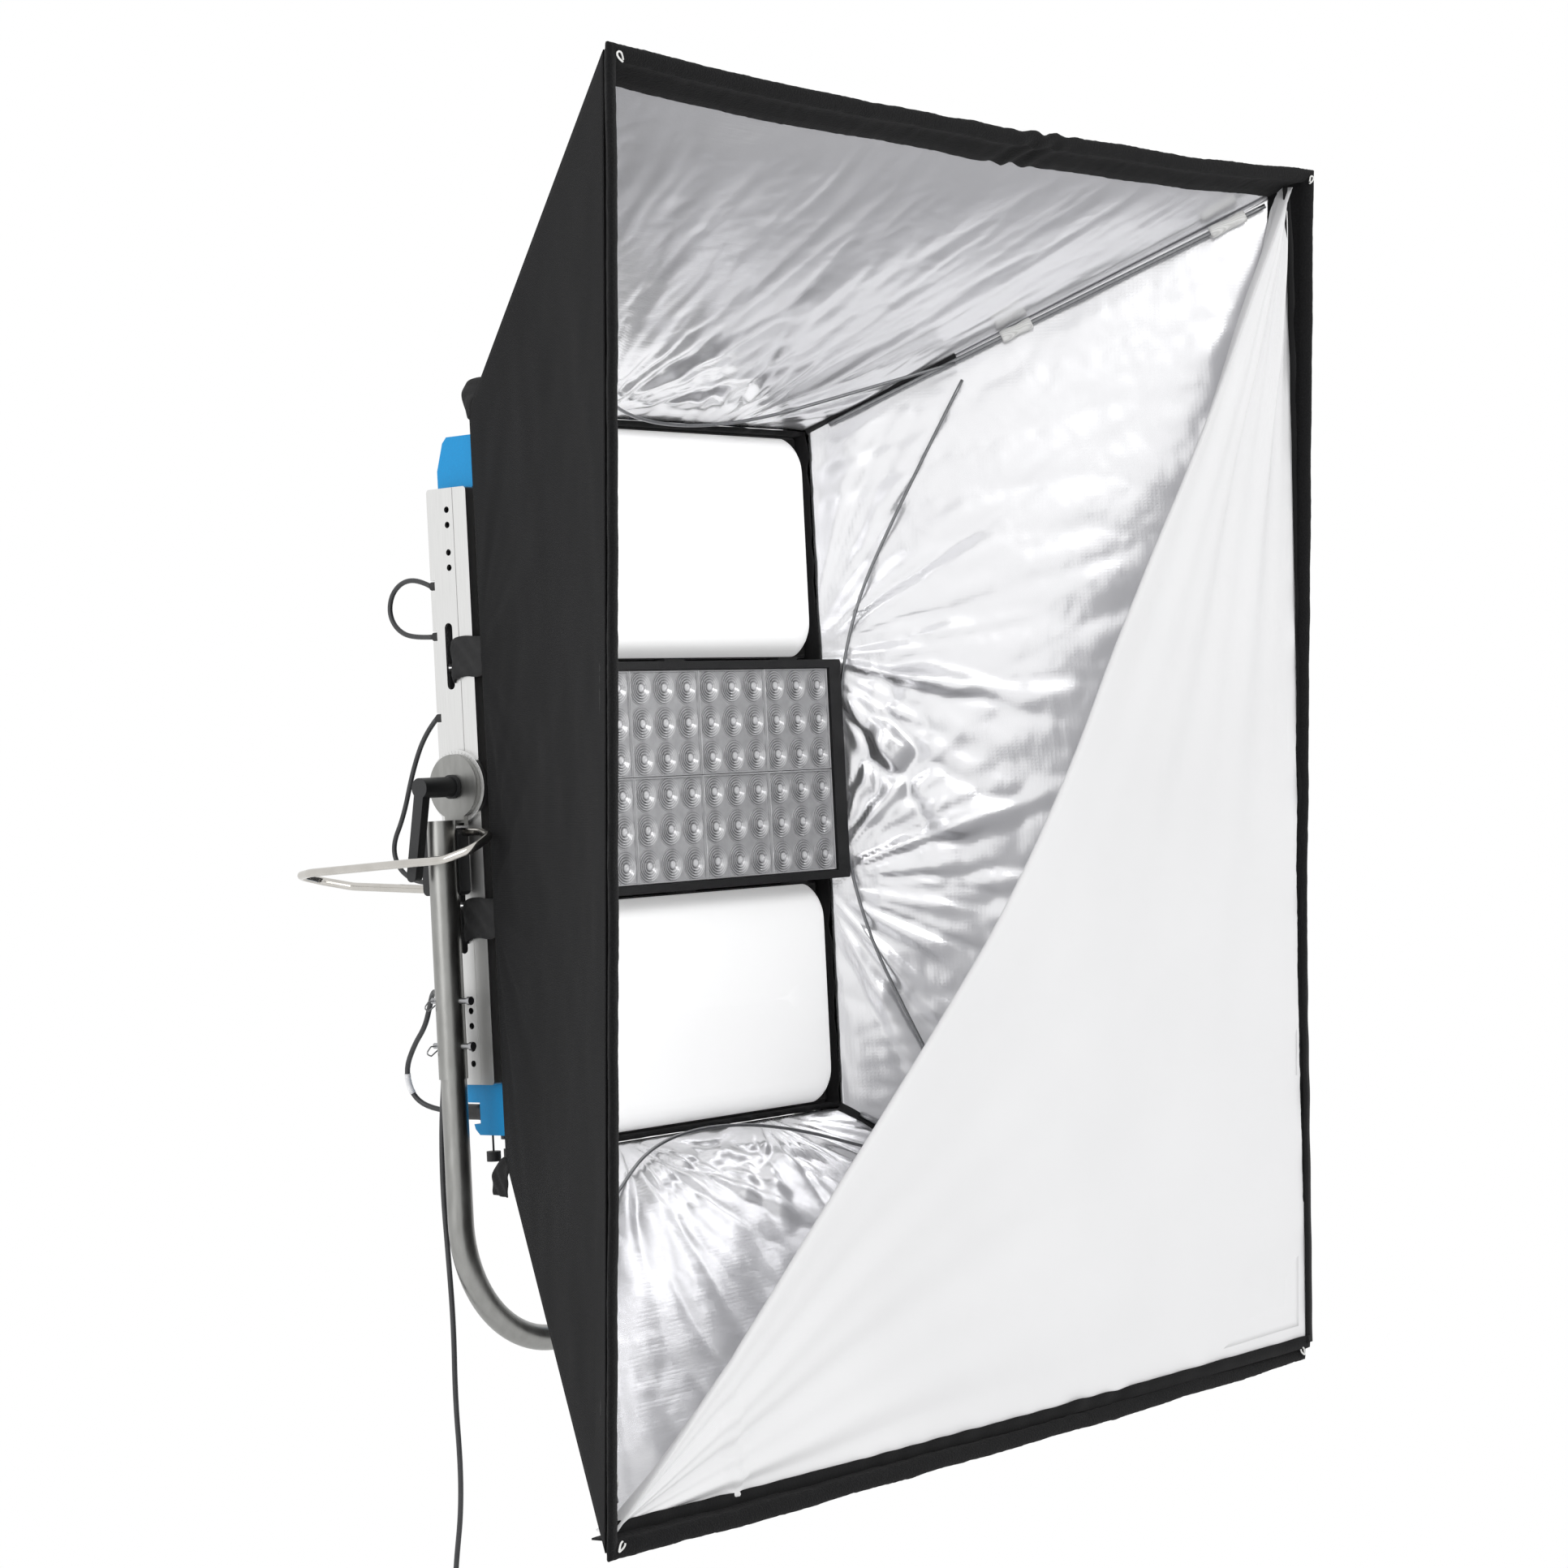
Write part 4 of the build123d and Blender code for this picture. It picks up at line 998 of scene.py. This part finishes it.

# ---- opal domes --------------------------------------------------------------------------------
# Vacuum-formed opal acrylic covers on the upper and lower modules: soft white, slightly crowned, with a
# painted glow from a weak emission.
opal, tree, shader = material(
    "opal_acrylic_painted_glow", "#fbfbfb", Roughness=0.38, Subsurface_Weight=0.25, Coat_Weight=0.15
)
shader.inputs["Subsurface Radius"].default_value = (0.02, 0.02, 0.02)
# Painted glow: a weak white emission makes the unlit domes brighter than the lights alone would.
shader.inputs["Emission Color"].default_value = (1, 1, 1, 1)
shader.inputs["Emission Strength"].default_value = 0.38
grained_finish(tree, shader, 3.0, 3.0, "#f4f4f4", "#ffffff", 0.0004)
DOME_W = 0.648
DOME_H = 0.326
dome_parts = ([], [])
ARC = 16
for centre_z in (0.467, 1.133):
    base = len(dome_parts[0])
    insets = [0.0, 0.0012, 0.004, 0.008, 0.013, 0.019, 0.027, 0.038, 0.052, 0.070, 0.095, 0.125, 0.1625]
    for inset in insets:
        half_w = DOME_W / 2 - inset
        half_h = DOME_H / 2 - inset
        corner = max(0.0004, min(0.036 + inset * 0.12, half_h, half_w))
        height = 0.027 * (1 - (1 - min(1.0, inset / 0.030)) ** 2.4) + 0.009 * (inset / 0.1625) ** 0.7
        for qx, qz, first in ((1, 1, 0), (-1, 1, 90), (-1, -1, 180), (1, -1, 270)):
            for k in range(ARC):
                a = math.radians(first + 90 * k / (ARC - 1))
                dome_parts[0].append(
                    (
                        qx * (half_w - corner) + corner * math.cos(a),
                        -0.0895 - height,
                        centre_z + qz * (half_h - corner) + corner * math.sin(a),
                    )
                )
    ring = 4 * ARC
    dome_parts[1].extend(ring_quads(base, len(insets) - 1, ring))
    last = base + (len(insets) - 1) * ring
    dome_parts[1].append(tuple(last + k for k in range(ring)))
domes = new_piece("opal_domes", *dome_parts, opal)
thicken(domes, 0.003, -1.0)
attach(domes, "head")
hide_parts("domes")

# ---- lens unit ---------------------------------------------------------------------------------
# Eight moulded clear plates, each with nine ringed lenses, in a black frame over the middle module.
lens_clear, tree, shader = material(
    "moulded_clear_acrylic", "#b4b5b7", Roughness=0.16, Coat_Weight=0.6, Coat_Roughness=0.05, Metallic=0.2
)
at = place(tree)
depth_tone = add(tree, "ShaderNodeTexNoise", {"Scale": 55.0, "Detail": 5.0}, {"Vector": (at, "Object")})
# The base colour runs from dark to light by each ring's painted shade and painted highlight, plus random tone
# from the noise.
tone = add(tree, "ShaderNodeAttribute", {"attribute_name": "ring_painted_light_and_shade"})
shaded = add(
    tree,
    "ShaderNodeMath",
    {"operation": "MULTIPLY_ADD", 1: 0.25},
    {0: (depth_tone, "Fac"), 2: (tone, "Fac")},
)
mottle(tree, shader, shaded, 0, "#2f3032", "#ececee")
relief(tree, shader, depth_tone, "Fac", 0.0002)


def socket_id(group, name):
    """The identifier of a named input of a node group."""
    return next(s.identifier for s in group.interface.items_tree if s.name == name and s.in_out == "INPUT")


LENS_PITCH = 0.050
# Radius and height of each ring, and how light it is painted: painted shade darkens the grooves, and a painted
# highlight lightens the ridges.
lens_rings = [
    (0.0, 0.0030, 0.95),
    (0.0030, 0.0036, 0.85),
    (0.0058, 0.0028, 0.5),
    (0.0064, 0.0006, 0.12),
    (0.0100, 0.0030, 0.75),
    (0.0104, 0.0005, 0.12),
    (0.0140, 0.0028, 0.7),
    (0.0144, 0.0004, 0.14),
    (0.0178, 0.0025, 0.68),
    (0.0182, 0.0004, 0.16),
    (0.0214, 0.0020, 0.62),
    (0.0219, 0.0002, 0.2),
    (0.0243, 0.0008, 0.5),
    (0.0247, 0.0, 0.3),
]
lens_vertices = []
lens_faces = []
LENS_SIDES = 28
for radius, height, tone in lens_rings:
    for k in range(LENS_SIDES):
        a = 2 * math.pi * k / LENS_SIDES
        # Each lens is a little taller than wide, with a flat where it meets its neighbour.
        lens_vertices.append((radius * math.cos(a) * 0.98, -height, radius * math.sin(a)))
for i in range(len(lens_rings) - 1):
    for k in range(LENS_SIDES):
        n = (k + 1) % LENS_SIDES
        lens_faces.append(
            (i * LENS_SIDES + n, i * LENS_SIDES + k, (i + 1) * LENS_SIDES + k, (i + 1) * LENS_SIDES + n)
        )
one_lens = new_piece("one_lens", lens_vertices, lens_faces, lens_clear)
ring_painted_light_and_shade = one_lens.data.attributes.new("ring_painted_light_and_shade", "FLOAT", "POINT")
for i, (radius, height, tone) in enumerate(lens_rings):
    for k in range(LENS_SIDES):
        # Three small moulded dots break the middle ring; they are drawn only as painted shade, darker than the
        # ring.
        dot = 0.35 if i in (4, 5) and k % 9 == 2 else 0.0
        ring_painted_light_and_shade.data[i * LENS_SIDES + k].value = max(0.0, tone - dot)

lens_grid = bpy.data.node_groups.new("lens_grid", "GeometryNodeTree")
lens_grid.interface.new_socket("Geometry", in_out="OUTPUT", socket_type="NodeSocketGeometry")
lens_grid.interface.new_socket("Geometry", in_out="INPUT", socket_type="NodeSocketGeometry")
for label, kind in (
    ("Lens", "NodeSocketObject"),
    ("Pitch", "NodeSocketFloat"),
    ("Across", "NodeSocketInt"),
    ("Up", "NodeSocketInt"),
    ("Finish", "NodeSocketMaterial"),
):
    lens_grid.interface.new_socket(label, in_out="INPUT", socket_type=kind)
entry = add(lens_grid, "NodeGroupInput")
leave = add(lens_grid, "NodeGroupOutput")
less_a = add(lens_grid, "ShaderNodeMath", {"operation": "SUBTRACT", 1: 1.0}, {0: (entry, "Across")})
less_u = add(lens_grid, "ShaderNodeMath", {"operation": "SUBTRACT", 1: 1.0}, {0: (entry, "Up")})
span_a = add(lens_grid, "ShaderNodeMath", {"operation": "MULTIPLY"}, {0: (less_a, 0), 1: (entry, "Pitch")})
span_u = add(lens_grid, "ShaderNodeMath", {"operation": "MULTIPLY"}, {0: (less_u, 0), 1: (entry, "Pitch")})
spread = add(
    lens_grid,
    "GeometryNodeMeshGrid",
    {},
    {
        "Size X": (span_a, 0),
        "Size Y": (span_u, 0),
        "Vertices X": (entry,
        "Across"),
        "Vertices Y": (entry,
        "Up"),
    },
)
stand_up = add(
    lens_grid,
    "GeometryNodeTransform",
    {"Rotation": (math.pi / 2, 0, 0), "Translation": (0, -0.1465, 0.8)},
    {"Geometry": (spread, "Mesh")},
)
info = add(lens_grid, "GeometryNodeObjectInfo", {}, {"Object": (entry, "Lens")})
copies = add(
    lens_grid,
    "GeometryNodeInstanceOnPoints",
    {},
    {"Points": (stand_up, "Geometry"), "Instance": (info, "Geometry")},
)
real = add(lens_grid, "GeometryNodeRealizeInstances", {}, {"Geometry": (copies, "Instances")})
dressed = add(
    lens_grid,
    "GeometryNodeSetMaterial",
    {},
    {"Geometry": (real, "Geometry"), "Material": (entry, "Finish")},
)
lens_grid.links.new(dressed.outputs["Geometry"], leave.inputs["Geometry"])
holder = new_piece("lens_holder", [(0, 0, 0), (0.001, 0, 0), (0, 0, 0.001)], [(0, 1, 2)], lens_clear)
layout = holder.modifiers.new("lens_grid", "NODES")
layout.node_group = lens_grid
layout[socket_id(lens_grid, "Lens")] = one_lens
layout[socket_id(lens_grid, "Pitch")] = LENS_PITCH
layout[socket_id(lens_grid, "Across")] = 12
layout[socket_id(lens_grid, "Up")] = 6
layout[socket_id(lens_grid, "Finish")] = lens_clear
bpy.context.view_layer.update()
lens_mesh = bpy.data.meshes.new_from_object(
    holder.evaluated_get(bpy.context.evaluated_depsgraph_get())
)
lens_caps = bpy.data.objects.new("ringed_lenses", lens_mesh)
bpy.context.collection.objects.link(lens_caps)
for polygon in lens_mesh.polygons:
    polygon.use_smooth = False
bpy.data.objects.remove(holder)
bpy.data.objects.remove(one_lens)
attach(lens_caps, "head")

# The plates carry the lenses; each has a raised rim where it meets the next one.
plate_parts = ([], [])
for col in range(4):
    for line in range(2):
        cx = (col - 1.5) * 0.150
        cz = 0.8 + (line - 0.5) * 0.150
        base = len(plate_parts[0])
        for half, y in (
            (0.0746, -0.1405), (0.0746, -0.1488), (0.0738, -0.1495), (0.0722, -0.1490), (0.0716, -0.1464),
        ):
            for sx, sz in ((1, 1), (-1, 1), (-1, -1), (1, -1)):
                plate_parts[0].append((cx + sx * half, y, cz + sz * half))
        plate_parts[1].extend(ring_quads(base, 4, 4))
        plate_parts[1].append((base + 3, base + 2, base + 1, base))
        plate_parts[1].append((base + 16, base + 17, base + 18, base + 19))
plates = new_piece("lens_plates", *plate_parts, lens_clear, smooth=False)
# The plates read the same painted light and shade attribute, at one even middle value.
plate_tone = plates.data.attributes.new("ring_painted_light_and_shade", "FLOAT", "POINT")
for value in plate_tone.data:
    value.value = 0.45
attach(plates, "head")
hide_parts("lens_array")

# ---- metalwork ---------------------------------------------------------------------------------
# Sheet parts are powder coated; rails, discs and yoke are aluminium; hardware is steel.
black_coat, tree, shader = material("black_powder_coat", "#101011", Roughness=0.5)
grained_finish(tree, shader, 650.0, 2.0, "#0c0c0d", "#1a1a1b", 0.0002)
dress(black_coat, "lens_frame", "lens_brackets", "housings", "fan_grilles")

charcoal_coat, tree, shader = material("charcoal_powder_coat", "#2b2c2f", Roughness=0.48)
grained_finish(tree, shader, 520.0, 2.0, "#26272a", "#333437", 0.00025)
dress(charcoal_coat, "rear_covers")

blue_coat, tree, shader = material("blue_powder_coat", "#0b89c5", Roughness=0.4, Coat_Weight=0.03)
shader.inputs["Specular IOR Level"].default_value = 0.3
grained_finish(tree, shader, 480.0, 2.0, "#0982be", "#0e90cd", 0.0002)
dress(blue_coat, "end_caps")

anodised, tree, shader = material("clear_anodised_aluminium", "#d9d9d8", Metallic=1.0, Roughness=0.36)
drawn_map = add(tree, "ShaderNodeMapping", {"Scale": (400.0, 400.0, 6.0)}, {"Vector": (place(tree), "Object")})
drawn = add(tree, "ShaderNodeTexNoise", {"Scale": 3.0, "Detail": 4.0}, {"Vector": (drawn_map, 0)})
mottle(tree, shader, drawn, "Fac", "#cbcbca", "#e2e2e1")
relief(tree, shader, drawn, "Fac", 0.0001)
dress(anodised, "side_rails", "tilt_discs")

satin, tree, shader = material("satin_aluminium_tube", "#989895", Metallic=1.0, Roughness=0.42)
rub_map = add(tree, "ShaderNodeMapping", {"Scale": (30.0, 30.0, 9.0)}, {"Vector": (place(tree), "Object")})
rub = add(tree, "ShaderNodeTexNoise", {"Scale": 3.0, "Detail": 7.0}, {"Vector": (rub_map, 0)})
mottle(tree, shader, rub, "Fac", "#868683", "#a5a5a3")
relief(tree, shader, rub, "Fac", 0.0002)
worn = add(tree, "ShaderNodeMapRange", {"To Min": 0.24, "To Max": 0.46}, {"Value": (rub, "Fac")})
tree.links.new(worn.outputs[0], shader.inputs["Roughness"])
dress(satin, "yoke_bow", "yoke_sleeves", "yoke_plates")

polished, tree, shader = material("polished_stainless_bar", "#c9c6c0", Metallic=1.0, Roughness=0.16)
grained_finish(tree, shader, 40.0, 5.0, "#b8b5af", "#d3d0cb", 0.00015)
dress(polished, "handles")

zinc, tree, shader = material("zinc_plated_steel", "#a5a6a8", Metallic=1.0, Roughness=0.33)
grained_finish(tree, shader, 150.0, 5.0, "#8f9092", "#b5b6b8", 0.0002)
dress(
    zinc,
    "tilt_bolts",
    "clevis_pins",
    "pin_clip_left_upper",
    "pin_clip_left_lower",
    "pin_clip_right_upper",
    "pin_clip_right_lower",
    "spigot",
    "spigot_bolt",
)

bare_aluminium, tree, shader = material("mill_aluminium", "#b9babc", Metallic=1.0, Roughness=0.4)
mill_map = add(tree, "ShaderNodeMapping", {"Scale": (8.0, 300.0, 300.0)}, {"Vector": (place(tree), "Object")})
mill = add(tree, "ShaderNodeTexNoise", {"Scale": 3.0, "Detail": 3.0}, {"Vector": (mill_map, 0)})
mottle(tree, shader, mill, "Fac", "#a6a7a9", "#c6c7c9")
relief(tree, shader, mill, "Fac", 0.0001)
dress(bare_aluminium, "heat_sinks", "power_supply")

# ---- plastics and boards -----------------------------------------------------------------------
# Glass-filled nylon handles and blocks, ABS controls, and white solder-masked circuit boards.
nylon, tree, shader = material("glass_filled_nylon", "#17181a", Roughness=0.5)
grained_finish(tree, shader, 700.0, 2.0, "#131415", "#222325", 0.0003)
dress(nylon, "tilt_lever_left", "tilt_lever_right", "handle_blocks", "sockets", "fan_frames")
dress(nylon, "fan_rotor_bottom", "fan_rotor_middle", "fan_rotor_top")
dress(nylon, "control_panel", "control_knob", "button_1", "button_2", "button_3")

board, tree, shader = material("white_solder_mask", "#dfe0dc", Roughness=0.45)
grained_finish(tree, shader, 90.0, 3.0, "#d2d3cf", "#e8e9e5", 0.0001)
dress(board, "led_boards", "control_board")

window, tree, shader = material("display_window", "#070a0d", Roughness=0.08, Coat_Weight=0.6)
grained_finish(tree, shader, 120.0, 3.0, "#05070a", "#0c1116", 0.00005)
dress(window, "display")

# ---- room: floor and light ---------------------------------------------------------------------
# A plain pale floor well below the lamp, a white surround and large soft lights.
FLOOR_Z = -1.2
FLOOR_R = 3.8
floor_paint, tree, shader = material("pale_floor", "#f4f4f4", Roughness=0.9)
floor = new_piece(
    "floor",
    [
        (FLOOR_R * math.cos(math.radians(a)), FLOOR_R * math.sin(math.radians(a)), FLOOR_Z)
        for a in range(0, 360, 5)
    ],
    [tuple(range(72))],
    floor_paint,
    smooth=False,
)
world = bpy.data.worlds.new("studio")
world.use_nodes = True
world.node_tree.nodes["Background"].inputs["Color"].default_value = (1, 1, 1, 1)
world.node_tree.nodes["Background"].inputs["Strength"].default_value = 1.0
bpy.context.scene.world = world
bpy.context.scene.view_settings.view_transform = "Standard"


def soft_light(name, place_at, aim, size, power):
    data = bpy.data.lights.new(name, "AREA")
    data.shape = "RECTANGLE"
    data.size = size[0]
    data.size_y = size[1]
    data.energy = power
    made = bpy.data.objects.new(name, data)
    bpy.context.collection.objects.link(made)
    direction = Vector(aim) - Vector(place_at)
    turn = direction.to_track_quat("-Z", "Y").to_matrix().to_4x4()
    made.matrix_world = Matrix.Translation(place_at) @ turn
    return made


soft_light("key", (-1.6, -4.6, 3.4), (0, -0.4, 0.8), (2.4, 2.0), 60)
soft_light("left", (-4.5, 0.5, 1.8), (-0.3, 0, 0.8), (2.0, 2.6), 50)

# Dark flags behind the camera give the mirror-bright cloth something to reflect.
flag_black, tree, shader = material("black_flag_felt", "#050505", Roughness=1.0)
for name, centre, half_w, half_h in (
    ("flag_right", (1.5, -5.4, 1.2), 0.35, 1.8),
    ("flag_left", (-2.2, -6.0, 0.2), 0.3, 1.3),
):
    cx, cy, cz = centre
    flag = new_piece(
        name,
        [
            (cx + half_w * sx, cy, cz + half_h * sz)
            for sx, sz in ((-1, -1), (1, -1), (1, 1), (-1, 1))
        ],
        [(0, 1, 2, 3)],
        flag_black,
        smooth=False,
    )
    flag.visible_camera = False
